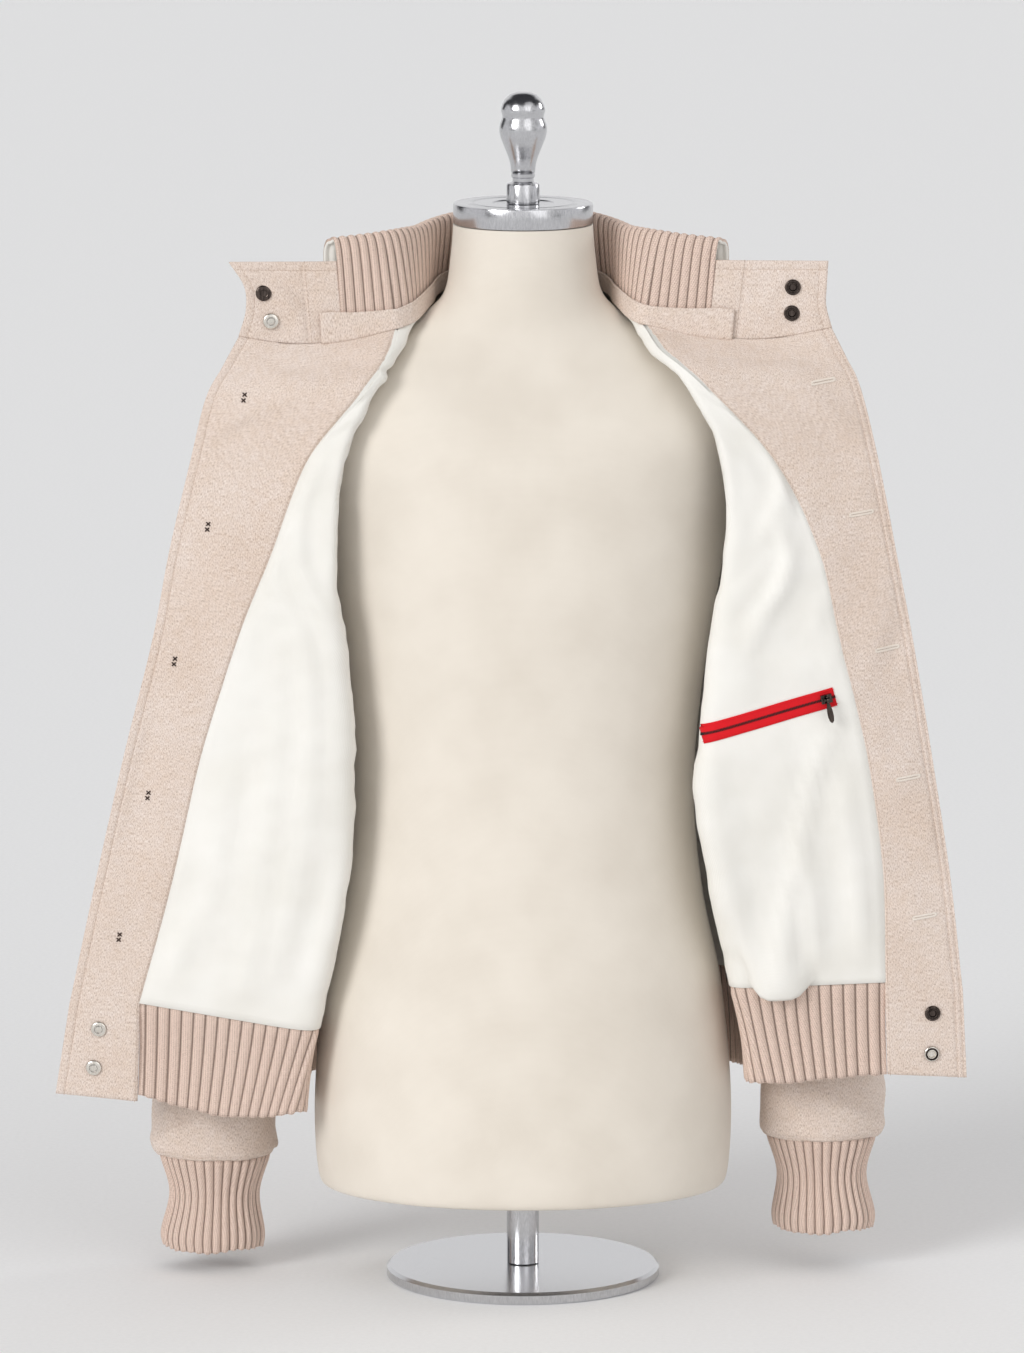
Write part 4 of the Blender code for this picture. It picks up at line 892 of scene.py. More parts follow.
def named(tree, name, **settings):
    return add(tree, "GeometryNodeInputNamedAttribute", {"Name": name},
               **settings).outputs["Attribute"]


def give_out(tree, geometry, material, result):
    """Make a tree's result real mesh in one material, and hand it out."""
    real = add(tree, "GeometryNodeRealizeInstances", {"Geometry": geometry})
    done = add(tree, "GeometryNodeSetMaterial", {"Geometry": real.outputs[0],
                                                 "Material": material})
    add(tree, "NodeGroupOutput", {result: done.outputs[0]})


raise_ribs, given = new_tree("raise_ribs", (("Knit", "Geometry"), ("Rib height", "Float"),
                                            ("Finish", "Material")), "Ribs")
wave = calc(raise_ribs, "COSINE", calc(raise_ribs, "MULTIPLY", named(raise_ribs, "rib"), TURN))
half = calc(raise_ribs, "MULTIPLY_ADD", wave, 0.5, 0.5)
rounded = calc(raise_ribs, "POWER", half, FATNESS)
kept = calc(raise_ribs, "MULTIPLY", calc(raise_ribs, "MULTIPLY", rounded, given["Rib height"]),
            named(raise_ribs, "rib_lift"))
normal = add(raise_ribs, "GeometryNodeInputNormal").outputs[0]
offset = add(raise_ribs, "ShaderNodeVectorMath", {0: normal, "Scale": kept}, operation="SCALE")
# Each point's rib height is kept for the knit material, which uses it to paint shade into the
# grooves.
marked = add(raise_ribs, "GeometryNodeStoreNamedAttribute",
             {"Geometry": given["Knit"], "Name": "rib_height", "Value": rounded},
             data_type="FLOAT", domain="POINT")
raised = add(raise_ribs, "GeometryNodeSetPosition", {"Geometry": marked.outputs[0],
                                                     "Offset": offset.outputs[0]})
give_out(raise_ribs, raised.outputs[0], given["Finish"], "Ribs")


def apply_tree(made, tree, **inputs):
    """Run a node tree on an object with named inputs, and keep its result as plain mesh."""
    modifier = made.modifiers.new("nodes", "NODES")
    modifier.node_group = tree
    for item in tree.interface.items_tree:
        if item.in_out == "INPUT" and item.name.replace(" ", "_") in inputs:
            modifier[item.identifier] = inputs[item.name.replace(" ", "_")]
    graph = bpy.context.evaluated_depsgraph_get()
    mesh = bpy.data.meshes.new_from_object(made.evaluated_get(graph))
    made.modifiers.clear()
    made.data = mesh
    mesh.shade_smooth()
    return made


def knitted(name, outer, inner, uv, node, rib, lift, height, wrap=False):
    """A shell in rib knit: rib holds each point's rib number, lift its share of relief."""
    made = shell(name, outer, inner, uv, ribbing, [node], wrap=wrap)
    spare = len(made.data.vertices) - 2 * rib.size
    for label, values in (("rib", rib), ("rib_lift", lift)):
        both = np.concatenate([np.tile(np.broadcast_to(values, rib.shape).ravel(), 2),
                               np.zeros(spare)])
        made.data.attributes.new(label, "FLOAT", "POINT").data.foreach_set("value", both)
    return apply_tree(made, raise_ribs, Rib_height=height, Finish=ribbing)


# %% Cuffs
KNIT_STEPS = 12             # points across one rib
FOOT_WAVES = (1.2, 0.5)     # mm that a cuff's foot waves, three and seven times round
CUFF_RIBS, CUFF_OUT, CUFF_IN = 34, 0.6 * MM, 2.4 * MM
RIB_HIGH, COLLAR_RIB_HIGH = 1.8 * MM, 1.4 * MM
for side, word in SIDES:
    turn = np.arange(CUFF_RIBS * KNIT_STEPS) * TURN / (CUFF_RIBS * KNIT_STEPS)
    keys = placed(np.array([ring(*row[:4], row[4], row[4], turn) for row in CUFF]), side)
    rings = through(keys, 8)
    wavy = np.sin(turn * 3 + side) * FOOT_WAVES[0] * MM + np.sin(turn * 7) * FOOT_WAVES[1] * MM
    rings[..., 2] += wavy * np.linspace(0, 1, len(rings))[:, None] ** 2
    out = rings - rings.mean(axis=1, keepdims=True)
    out[..., 2] = 0
    out = unit(out)
    rib = np.broadcast_to(np.arange(CUFF_RIBS * KNIT_STEPS) / KNIT_STEPS, rings.shape[:2])
    rounding = np.random.default_rng(7 + side).normal(1, 0.2, CUFF_RIBS + 1)
    knitted("rib_cuff_" + word, rings - out * CUFF_OUT, rings - out * CUFF_IN,
            flat_map(rings, wrap=True), "cuff_" + word, rib, rounding[rib.round().astype(int)],
            RIB_HIGH, wrap=True)
print("cuffs with", CUFF_RIBS, "ribs each")

# %% [markdown]
# ## The rib hem
#
# The hem is one knit strip from placket to placket. On the turned back wings its ribs
# spread and lean, and its foot droops between the side seam and the placket.

# %% Rib hem
HEM_RIBS = 150              # the grid has points for so many; the pitch makes fewer
WING_PITCH, WING_REACH = 9.8, 250.0     # mm; the ribs spread toward the plackets
HEM_ROWS, WING_STEEP = 26, 1.6
HEM_BULGE, UNDER_WOOL = 2.5 * MM, 0.4 * MM
HEM_FOOT_BACK = 128, 158, 0.75      # middle y and z in mm, and power, as in BACK
HEM_WAVES = (61, 0.7), (143, 0.4)   # how many radians along the foot, and how high in mm
TUCK_ROWS, TUCK_LEAST = 14, 0.35    # relief fades in under the wool, from this share
COLLAR_STEPS, COLLAR_TUCK, COLLAR_TUCK_LEAST = 14, 5, 0.15
HEM_DROOP = {LEFT: 8 * MM, RIGHT: 1.5 * MM}
LEAN = 24.0          # mm that a wing's ribs lean over, feet toward the placket
LEAN_STARTS, LEAN_ENDS = (25, 150), (300, 90)   # mm from the placket, and mm that it takes
HEM_HALF, COLLAR_HALF = 0.7 * MM, 0.9 * MM      # half the thickness of hem and collar


def walk(line, count):
    """Points at equal lengths along a line of points."""
    steps = np.linalg.norm(np.diff(line, axis=0), axis=1)
    length = np.concatenate([[0], np.cumsum(steps)])
    return at_places(line, np.linspace(0, length[-1], count), length)


def level_inward(line):
    """Level unit vectors beside a line that runs from left to right round the back."""
    along = np.gradient(line, axis=0)
    return unit(np.stack([along[:, 1], -along[:, 0], np.zeros(len(line))], axis=1))


hem_top = np.concatenate([front_surface[LEFT][0, FACING_COL:0:-1], back_surface[0],
                          front_surface[RIGHT][0, 1:FACING_COL + 1]])
feet = {}
for side, _ in SIDES:
    feet[side] = front_row(*HEM_FOOT[side], PLACKET_FOOT[side][1], 0)
    droop = np.sin(math.pi * np.linspace(0, 1, STRETCH + 1)) * HEM_DROOP[side]
    feet[side][STRETCH:FACING_COL + 1, 2] -= droop
foot_back = back_row(HEM_FOOT[LEFT][0], HEM_FOOT[RIGHT][0], *HEM_FOOT_BACK)
hem_foot = np.concatenate([feet[LEFT][FACING_COL:0:-1], foot_back,
                           feet[RIGHT][1:FACING_COL + 1]])
count = HEM_RIBS * KNIT_STEPS + 1
top_line, foot_line = walk(hem_top, count), walk(hem_foot, count)
out = -level_inward((top_line + foot_line) / 2)
top_line = top_line - np.array((0, 0, UNDER_WOOL)) - out * WOOL_THICK / 2
foot_line = foot_line - out * WOOL_THICK / 2
share = np.linspace(0, 1, HEM_ROWS)[:, None, None]
grid = foot_line + (top_line - foot_line) * share + out * np.sin(math.pi * share) * HEM_BULGE
rounding = np.random.default_rng(4).normal(1, 0.16, HEM_RIBS + 2)
along = np.linspace(0, 1, count)
wavy = sum(np.sin(along * number) * high for number, high in HEM_WAVES) * MM
grid[..., 2] += wavy * (1 - share[..., 0]) ** 2
hem_uv = flat_map(grid)
ends = np.clip(np.minimum(along, 1 - along) * HEM_RIBS, 0, 1)
tucked = np.clip((1 - share[..., 0]) * TUCK_ROWS, TUCK_LEAST, 1)
length = hem_uv[-1, :, 0] / MM
near_end = np.minimum(length, length[-1] - length)
wing = np.clip(WING_STEEP - near_end / WING_REACH * WING_STEEP, 0, 1)
pitch = RIB_PITCH / MM + (WING_PITCH - RIB_PITCH / MM) * wing
number = np.concatenate([[0], np.cumsum(np.diff(length) / pitch[1:])])
number *= round(number[-1]) / number[-1]
lean = LEAN * np.clip((near_end - LEAN_STARTS[0]) / LEAN_STARTS[1], 0, 1) ** 1.3
lean *= np.clip((LEAN_ENDS[0] - near_end) / LEAN_ENDS[1], 0, 1)
lean *= np.sign(length[-1] / 2 - length)
leaning = np.interp(length + lean * (1 - share[..., 0]) ** 1.4, length, number)
knitted("rib_hem", grid + out * HEM_HALF, grid - out * HEM_HALF, hem_uv, "hem_rib", leaning,
        ends * tucked * rounding[leaning.round().astype(int)], RIB_HIGH)
print("hem:", round(number[-1]), "ribs,", size_of(hem_uv), "mm")

# %% [markdown]
# ## The collar
#
# A doubled rib stands up round the neck: it folds over at the top and comes back down
# inside. Wool tabs close its ends and carry the snaps, and a wool band covers the neck seam.

# %% Neck seam
NECK_STEPS, NECK_SOFTENING = 721, 400
TAB_END_X = {LEFT: -142 * MM, RIGHT: 146 * MM}
BAND_END_X = {LEFT: -159 * MM, RIGHT: 165 * MM}
TAB_TOP = {LEFT: 829 * MM, RIGHT: 830 * MM}
TAB_EDGE = {LEFT: (0.0, 5.5, 4.5, -7.5), RIGHT: (0.0, -4.5, -4.0, -3.0)}
COLLAR_RIBS = 56
# Offset toward the neck in mm, share of the height, and reach past the tabs' ends in mm.
COLLAR_FOLD = [(-3.4, 0.0, 10), (-11.0, 0.84, 10), (-6.0, 1.0, 4), (0.2, 0.90, 0), (1.0, 0.0, 0)]
neck = walk(np.concatenate([front_surface[LEFT][-1, :0:-1], back_surface[-1],
                            front_surface[RIGHT][-1, 1:]]), NECK_STEPS)
soft_neck = walk(softened(walk(neck, NECK_STEPS // 3 + 1), NECK_SOFTENING), NECK_STEPS)
print("neck seam:", round(float(np.linalg.norm(np.diff(neck, axis=0), axis=1).sum()) / MM),
      "mm")


def neck_share(side, x):
    """Where along the neck seam a front passes the given x."""
    half = NECK_STEPS // 2
    part = slice(0, half) if side == LEFT else slice(half, NECK_STEPS)
    return np.interp(x, neck[part, 0], np.arange(NECK_STEPS)[part])


SEAM_GAP = 0.7 * MM         # the collar starts this far over the neck seam


def collar_row(places, share, offset, high):
    """A row of collar points: share 0 follows the seam and 1 the soft line over it."""
    at = np.arange(NECK_STEPS)
    line = neck + (soft_neck - neck) * share
    row = at_places(line, places, at)
    across = unit(at_places(level_inward(line), places, at))
    low = np.interp(places, at, neck[:, 2]) + SEAM_GAP
    row += across * offset
    row[:, 2] = low + (high - low) * share
    return row, across


COLLAR_HIGH, END_DROP, BACK_RISE = 850 * MM, 5.5 * MM, 8 * MM
END_FROM, END_OVER, BEHIND = 85 * MM, 65 * MM, 70 * MM      # where it drops, where it rises


def collar_top(places):
    """Height of the collar's fold: lowest at its ends, highest behind the neck."""
    row, _ = collar_row(places, 0, 0, 0)
    at_end = np.clip((np.abs(row[:, 0]) - END_FROM) / END_OVER, 0, 1)
    return COLLAR_HIGH - END_DROP * at_end + BACK_RISE * np.clip(row[:, 1] / BEHIND, 0, 1)


# %% Rib collar
keys = []
for offset, share, past in COLLAR_FOLD:
    reach = (past - 0.2) * MM
    places = np.linspace(neck_share(LEFT, TAB_END_X[LEFT] - reach),
                         neck_share(RIGHT, TAB_END_X[RIGHT] + reach),
                         COLLAR_RIBS * KNIT_STEPS + 1)
    keys.append(collar_row(places, share, offset * MM, collar_top(places))[0])
grid = through(keys, COLLAR_STEPS)
normals = unit(np.cross(np.gradient(grid, axis=0), np.gradient(grid, axis=1)))
up = np.minimum(np.arange(len(grid)), len(grid) - 1 - np.arange(len(grid)))
made = knitted("rib_collar", grid + normals * COLLAR_HALF, grid - normals * COLLAR_HALF,
               flat_map(grid), "collar_rib",
               np.broadcast_to(np.arange(len(places)) / KNIT_STEPS, grid.shape[:2]),
               np.clip(up / COLLAR_TUCK, COLLAR_TUCK_LEAST, 1)[:, None], COLLAR_RIB_HIGH)
made.data.materials.append(cotton)
cells_across = len(places) - 1
for number in range(1, 2 * (len(grid) - 1) * cells_across, 2):
    if number // 2 % cells_across < cells_across // 2:
        made.data.polygons[number].material_index = 1
print("collar:", COLLAR_RIBS, "ribs")

# %% Collar tabs
TAB_THICK, BAND_THICK = 2.6 * MM, 1.6 * MM
TAB_TOP_STITCH, TAB_END_STITCH = 6.5 * MM, 6 * MM
TAB_SEAM = {LEFT: 27 * MM, RIGHT: 24 * MM}      # the tab's upright seam, from its inner end
TAB_FOLDS = {
    # across from the free edge and up from the neck seam
    LEFT: [((9, 52), (46, 12), 2.2, 5, 3), ((30, 50), (52, 30), -1.2, 5, 0)],
    RIGHT: [((12, 14), (40, 30), 1.2, 6, 0), ((30, 50), (50, 20), 1.0, 5, 2)],
}
TAB_COLUMNS, TAB_ROWS, TAB_EVEN = 84, 67, 8      # no folds this many cells from its borders
for side, word in SIDES:
    edge = 0 if side == LEFT else NECK_STEPS - 1
    places = np.linspace(edge, neck_share(side, TAB_END_X[side]), TAB_COLUMNS)
    shifts = through(np.array(TAB_EDGE[side])[:, None], (TAB_ROWS - 1) // 3)[:, 0]
    grid, across = [], []
    for share, shift in zip(np.linspace(0, 1, TAB_ROWS), shifts):
        row, beside = collar_row(places, share, 0, TAB_TOP[side])
        row[:, 0] += shift * MM * np.linspace(1, 0, TAB_COLUMNS) ** 2
        grid.append(row)
        across.append(beside)
    grid, across = np.array(grid), np.array(across)
    tab_uv = flat_map(grid)
    from_top = tab_uv[-1:, :, 1] - tab_uv[..., 1]
    from_inner = tab_uv[:, -1:, 0] - tab_uv[..., 0]
    dip = (pressed_edge(from_top, TAB_TOP_STITCH, SEAM_DIP)
           + pressed_edge(tab_uv[..., 0], TAB_END_STITCH, SEAM_DIP)
           + pressed_edge(from_inner, TAB_SEAM[side], EDGE_DIP))
    puff = folds(tab_uv / MM, TAB_FOLDS[side]) + drift(tab_uv / MM, 0.45, 30, 90 + side)
    puff *= fade(TAB_ROWS, TAB_COLUMNS, *[TAB_EVEN] * 4)
    face = grid + across * (TAB_THICK + dip + puff)[..., None]
    shell("wool_tab_" + word, grid, face, tab_uv, wool, ["collar_tab_" + word])
    faces_of["tab", side] = (face, across)
print("tabs reach", round(float(grid[..., 2].max()) / MM), "mm high")

# %% Neck band
BAND_POINTS, BAND_ROWS, BAND_IN = 212, 14, 4 * MM
BAND_STITCH, BAND_DIP = 2.5 * MM, 0.3 * MM
BAND_HIGH, BAND_LESS = 24 * MM, 9 * MM              # at the ends, and less behind the neck
BAND_FROM, BAND_OVER = 150 * MM, 50 * MM            # where it gets lower
places = np.linspace(neck_share(LEFT, BAND_END_X[LEFT]), neck_share(RIGHT, BAND_END_X[RIGHT]),
                     BAND_POINTS)
top = collar_top(places)
foot, foot_in = collar_row(places, 0, BAND_IN, top)
peak, peak_in = collar_row(places, 1, BAND_IN, top)
inner = np.clip((BAND_FROM - np.abs(foot[:, 0])) / BAND_OVER, 0, 1)
reach = ((BAND_HIGH - BAND_LESS * inner) / (top - foot[:, 2]))[:, None]
steps = np.linspace(0, 1, BAND_ROWS)[:, None, None]
grid = foot + (peak - foot) * reach * steps
across = unit(foot_in + (peak_in - foot_in) * reach * steps)
band_uv = flat_map(grid)
dip = pressed_edge(band_uv[-1:, :, 1] - band_uv[..., 1], BAND_STITCH, BAND_DIP)[..., None]
shell("wool_neck_band", grid, grid + across * (BAND_THICK + dip), band_uv, wool, ["neck_band"])
print("band:", size_of(band_uv), "mm")
# %% [markdown]
# ## Sewing
#
# Fronts and tabs are sewn with real stitches: small rounded lengths of thread set at an
# even step along a path on the cloth. One Geometry Nodes tree lays them all. A turn of 0
# lays stitches along the path, as topstitching, and 90 degrees lays them across it, as the
# satin edge of a buttonhole or the coil of a zip. A fixed seed tilts each a little.

# %% A node tree that sews
sew, given = new_tree("sew", (("Path", "Geometry"), ("Step", "Float"), ("Long", "Float"),
                              ("Thick", "Float"), ("Turn", "Float"), ("Wander", "Float"),
                              ("Seed", "Int"), ("Thread", "Material")), "Stitches")
line = add(sew, "GeometryNodeMeshToCurve", {"Mesh": given["Path"]})
even = add(sew, "GeometryNodeResampleCurve", {"Curve": line.outputs[0],
                                              "Length": given["Step"]}, mode="LENGTH")
way = add(sew, "GeometryNodeInputTangent")
along = add(sew, "FunctionNodeAlignRotationToVector", {"Vector": way.outputs[0]}, axis="X")
upright = add(sew, "FunctionNodeAlignRotationToVector",
              {"Rotation": along.outputs[0],
               "Vector": named(sew, "up", data_type="FLOAT_VECTOR")}, axis="Z", pivot_axis="X")
chance = add(sew, "FunctionNodeRandomValue", {2: -1.0, 3: 1.0, "Seed": given["Seed"]})
swing = calc(sew, "MULTIPLY_ADD", chance.outputs[1], given["Wander"], given["Turn"])
turned = add(sew, "FunctionNodeEulerToRotation",
             {0: add(sew, "ShaderNodeCombineXYZ", {"Z": swing}).outputs[0]})
facing = add(sew, "FunctionNodeRotateRotation", {0: upright.outputs[0], 1: turned.outputs[0]},
             rotation_space="LOCAL")
bead = add(sew, "GeometryNodeMeshIcoSphere", {"Radius": 0.5, "Subdivisions": 2})
smooth = add(sew, "GeometryNodeSetShadeSmooth", {"Geometry": bead.outputs["Mesh"]})
size = add(sew, "ShaderNodeCombineXYZ", {"X": given["Long"], "Y": given["Thick"],
                                         "Z": given["Thick"]})
laid = add(sew, "GeometryNodeInstanceOnPoints",
           {"Points": even.outputs[0], "Instance": smooth.outputs[0],
            "Rotation": facing.outputs[0], "Scale": size.outputs[0]})
give_out(sew, laid.outputs[0], given["Thread"], "Stitches")


def sewn(name, paths, material, slot, step, long, thick, turn=0.0, wander=0.06, lift=0.1, seed=1):
    """Stitches along paths, sizes in mm; a path is its points and the way out at each."""
    points, ups, edges = [], [], []
    for line, out in paths:
        first = len(points)
        out = unit(np.asarray(out, float))
        points += list(np.asarray(line, float) + out * lift * MM)
        ups += list(out)
        edges += [(k, k + 1) for k in range(first, len(points) - 1)]
    mesh = new_mesh(name, points, edges, [])
    mesh.attributes.new("up", "FLOAT_VECTOR", "POINT").data.foreach_set(
        "vector", np.array(ups, float).ravel())
    made = put_in_scene(name, mesh, None, ())
    apply_tree(made, sew, Step=step * MM, Long=long * MM, Thick=thick * MM, Turn=turn,
               Wander=wander, Seed=seed, Thread=material)
    print(name, "has", len(made.data.polygons), "faces")


def beside_edge(face, distance, rows=None):
    """A path up a face at a fixed distance from its last column of points."""
    grid, out = face
    line, ups = [], []
    for k in rows or range(len(grid)):
        steps = np.linalg.norm(np.diff(grid[k], axis=0), axis=1)
        from_edge = np.concatenate([[0], np.cumsum(steps[::-1])])
        for made, source in ((line, grid), (ups, out)):
            made.append([np.interp(distance, from_edge, source[k, ::-1, a]) for a in range(3)])
    return np.array(line), np.array(ups)


def flipped(face):
    """The same face with its first column of points last."""
    return face[0][:, ::-1], face[1][:, ::-1]


def turned_grid(face):
    """The same face with rows and columns exchanged, so that its top becomes its edge."""
    return face[0].transpose(1, 0, 2), face[1].transpose(1, 0, 2)


IN_FRONT = -0.09            # where a spot past the cloth's border looks for it


def land(face, spots):
    """Points of a face that lie straight behind spots (x, z in mm), and the way out there."""
    grid, out = face
    cols = grid.shape[1]
    quads = [(i * cols + j, i * cols + j + 1, (i + 1) * cols + j + 1, (i + 1) * cols + j)
             for i in range(len(grid) - 1) for j in range(cols - 1)]
    tree = BVHTree.FromPolygons([tuple(p) for p in grid.reshape(-1, 3)], quads)
    points, ups = [], []
    for x, z in spots:
        hit, _, number, _ = tree.ray_cast((x * MM, -1.0, z * MM), (0.0, 1.0, 0.0))
        if hit is None:
            hit, _, number, _ = tree.find_nearest((x * MM, IN_FRONT, z * MM))
        points.append(tuple(hit))
        ups.append(out[divmod(number, cols - 1)])
    return np.array(points), np.array(ups)


# %% Topstitching
TOPSTITCH = 3.1, 2.5, 0.5       # step, length and thickness in mm
SEAM_STITCH = 1.5 * MM          # from the facing's seam
for side, word in SIDES:
    facing, tab = faces_of["facing", side], faces_of["tab", side]
    outside, outside_in = faces_of["wool", side]
    edges = [beside_edge(facing, EDGE_STITCH)]
    if side == RIGHT:
        edges.append(beside_edge(facing, INNER_STITCH))
    edges += [beside_edge(flipped(facing), SEAM_STITCH),
              beside_edge((outside, -outside_in), EDGE_STITCH)]
    sewn("edge_stitches_" + word, edges, wool_thread, "wool", *TOPSTITCH, seed=3 + side)
    tops = [beside_edge(turned_grid(tab), TAB_TOP_STITCH, rows=range(3, tab[0].shape[1])),
            beside_edge(flipped(tab), TAB_END_STITCH, rows=range(len(tab[0]) - 4)),
            beside_edge(tab, TAB_SEAM[side] - 2 * MM)]
    sewn("tab_stitches_" + word, tops, wool_thread, "wool", *TOPSTITCH, seed=5 + side)

# %% [markdown]
# ## Buttonholes and button shanks
#
# The right facing shows the backs of five buttonholes, each a slit bound in cream satin
# stitch, slanting up a little toward the edge. On the left the buttons sit on the hidden
# outside, and the thread that holds them comes through the facing as two small dark stars.

# %% Buttonholes and shank threads
HOLES = [(236.4, 736.9), (267.0, 632.6), (288.3, 524.5), (305.6, 420.0), (320.0, 306.0)]
SHANKS = [(-220, 724), (-249, 622), (-276, 514), (-298, 405), (-322, 289)]
HOLE_LONG, HOLE_WIDE, HOLE_TILT = 18.5, 2.2, 0.16
HOLE_SQUARE = 1.35          # how far an oval is pushed out and cut off, to square its ends
SHANK_GAP, STAR_ARM = 2.2, (1.2, 1.1)
holes, slits, stars = [], [], []
for x, z in HOLES:
    turn = np.linspace(0, TURN, 33)
    a = np.clip(np.cos(turn) * HOLE_SQUARE, -1, 1) * HOLE_LONG / 2
    b = np.clip(np.sin(turn) * HOLE_SQUARE, -1, 1) * HOLE_WIDE / 2
    holes.append(land(faces_of["facing", RIGHT], zip(x + a, z + a * HOLE_TILT + b)))
    a = np.linspace(-0.44, 0.44, 9) * HOLE_LONG
    slits.append(land(faces_of["facing", RIGHT], zip(x + a, z + a * HOLE_TILT)))
for x, z in SHANKS:
    for gap in (-SHANK_GAP, SHANK_GAP):
        stars += [land(faces_of["facing", LEFT],
                       [(x + gap * 0.2 + end * STAR_ARM[0], z + gap + end * lean * STAR_ARM[1])
                        for end in (-1, 1)]) for lean in (-1.0, 1.0)]
sewn("buttonhole_satin", holes, thread, "wool", 0.55, 2.2, 0.6, turn=TURN / 4, wander=0.14,
     lift=0.3, seed=8)
sewn("buttonhole_slits", slits, wool_thread, "wool", 0.5, 1.3, 0.35, lift=0, seed=9)
sewn("button_shank_thread", stars, brown_thread, "wool", 0.5, 1.4, 1.1, wander=0.3, lift=0.35,
     seed=4)

# %% [markdown]
# ## The form and its stand
#
# The form is one smooth shape under tight jersey: ovals, each with a width and a depth. The
# neck plate, finial, pole and base are turned in steel: profiles spun about the upright axis.

# %% Turned pieces
FORM = [(75, 140, 92), (77, 154, 105), (86, 165, 116), (150, 168, 119), (240, 160, 114),
        (320, 144, 107), (400, 137, 104), (480, 143, 108), (575, 158, 114), (665, 176, 110),
        (700, 181, 98), (722, 176, 84), (743, 156, 71), (757, 128, 63), (771, 98, 59),
        (787, 74, 57.5), (802, 62, 56.5), (830, 57.5, 55.5), (854, 55.5, 55)]
NECK_PLATE = [(0, 854.4), (54, 854.4), (55.1, 854.9), (55.5, 856), (55.5, 869.5),
              (55.1, 870.6), (54, 871), (41, 871), (40.4, 870.6), (39.4, 870.6), (39, 871),
              (25, 871), (24.4, 870.4), (0, 870)]
FINIAL = [(0, 870.4), (12.7, 870.4), (13.2, 871), (13.2, 885), (12.6, 886.2), (9.4, 887),
          (8.4, 888.2), (8.4, 890.8), (9.4, 891.6), (9.4, 894.2), (8.9, 894.8), (9.6, 895.6),
          (9.8, 899), (10.3, 902.5), (11.8, 907.5), (15.2, 916), (17.6, 922), (18.8, 927),
          (18.9, 930.5), (18.2, 934.3), (16.8, 937.6), (16.4, 939.6), (16.8, 941.6), (17.5, 944),
          (17.4, 946), (16.4, 949.6), (14.2, 953.4), (10.6, 956.8), (6, 958.6), (0, 959)]
BASE = [(0, 0), (108.6, 0), (110, 1.4), (110, 7.6), (107.4, 10), (0, 10)]
POLE = [(0, 10.4), (12.4, 10.4), (13, 11), (13, 74), (12.4, 74.6), (0, 74.6)]


def spin(name, profile, sides, material, replaced):
    """Spin a profile of radius and height about Z. Its ends lie on the axis."""
    turn = np.arange(sides) * TURN / sides
    points, rings, faces = [], [], []
    for radius, height in profile:
        if radius == 0:
            rings.append([len(points)] * sides)
            points.append((0, 0, height * MM))
        else:
            rings.append(list(range(len(points), len(points) + sides)))
            points += [(radius * MM * math.cos(t), radius * MM * math.sin(t), height * MM)
                       for t in turn]
    for low, high in zip(rings, rings[1:]):
        for k in range(sides):
            corners = [low[k], low[(k + 1) % sides], high[(k + 1) % sides], high[k]]
            faces.append([c for n, c in enumerate(corners) if c not in corners[:n]])
    return put_in_scene(name, new_mesh(name, points, [], faces, sharp=38), material, replaced)


for name, profile, sides, node in (
        ("steel_neck_plate", NECK_PLATE, 96, "neck_plate"), ("steel_finial", FINIAL, 64, "finial"),
        ("steel_base", BASE, 128, "stand_base"), ("steel_pole", POLE, 48, "stand_pole")):
    spin(name, profile, sides, steel, [node])

# %% The form's torso
FORM_ROUND, TIGHT = 144, 0.9985     # jersey lies this much inside the solid's own corners
turn = np.arange(FORM_ROUND) * TURN / FORM_ROUND
table = through(np.array(FORM, float), 10)
rings = np.array([np.stack([wide * np.cos(turn), deep * np.sin(turn),
                            np.full(FORM_ROUND, z)], axis=1) for z, wide, deep in table]) * MM
form_uv = flat_map(rings, wrap=True)
rings = rings * np.array((TIGHT, TIGHT, 1))
ends = [(0, 0, rings[0, 0, 2]), (0, 0, rings[-1, 0, 2])]
points = np.concatenate([rings.reshape(-1, 3), ends])
faces, maps = [], []
last = (len(rings) - 1) * FORM_ROUND
for j in range(FORM_ROUND):
    m = (j + 1) % FORM_ROUND
    for i in range(len(rings) - 1):
        low, high = i * FORM_ROUND, (i + 1) * FORM_ROUND
        faces.append([low + j, low + m, high + m, high + j])
        maps += [form_uv[i, j], form_uv[i, j + 1], form_uv[i + 1, j + 1], form_uv[i + 1, j]]
    faces += [[m, j, len(points) - 2], [last + j, last + m, len(points) - 1]]
    maps += [rings[0, m, :2], rings[0, j, :2], (0, 0), rings[-1, j, :2], rings[-1, m, :2], (0, 0)]
put_in_scene("form_jersey", new_mesh("form", points, [], faces, maps, sharp=60), jersey,
             ["form_torso"])
print("form:", round(float(rings[..., 2].max()) / MM), "mm high")

# %% [markdown]
# ## Fastenings
#
# Snaps are pressed from sheet metal: a domed cap on the left, and on the right a socket with
# a rim, a groove and a spring ring. Each is spun and set on the foot of its own solid. The rim's
# side and the groove are given black nickel, as painted shade.

# %% Snaps and buttons
CAP = [(0, -0.4), (5.8, -0.4), (6.3, 0.1), (6.3, 0.8), (5.9, 1.4), (5.2, 1.65), (3.4, 1.85),
       (3.1, 1.65), (2.7, 1.65), (2.4, 1.9), (0, 1.95)]
SOCKET = [(0, -0.4), (5.9, -0.4), (6.3, 0.2), (6.3, 0.9), (5.9, 1.5), (5.3, 1.7), (4.7, 1.5),
          (4.4, 0.8), (3.9, 0.8), (3.6, 1.5), (3.1, 1.6), (2.7, 1.0), (2.4, 0.6), (0, 0.5)]
BUTTON = [(0, -0.2), (3.1, -0.2), (3.2, 1.0), (9.2, 1.2), (10, 2.0), (9.8, 3.2), (9.0, 3.9),
          (7.6, 3.7), (6.4, 3.0), (0, 2.8)]


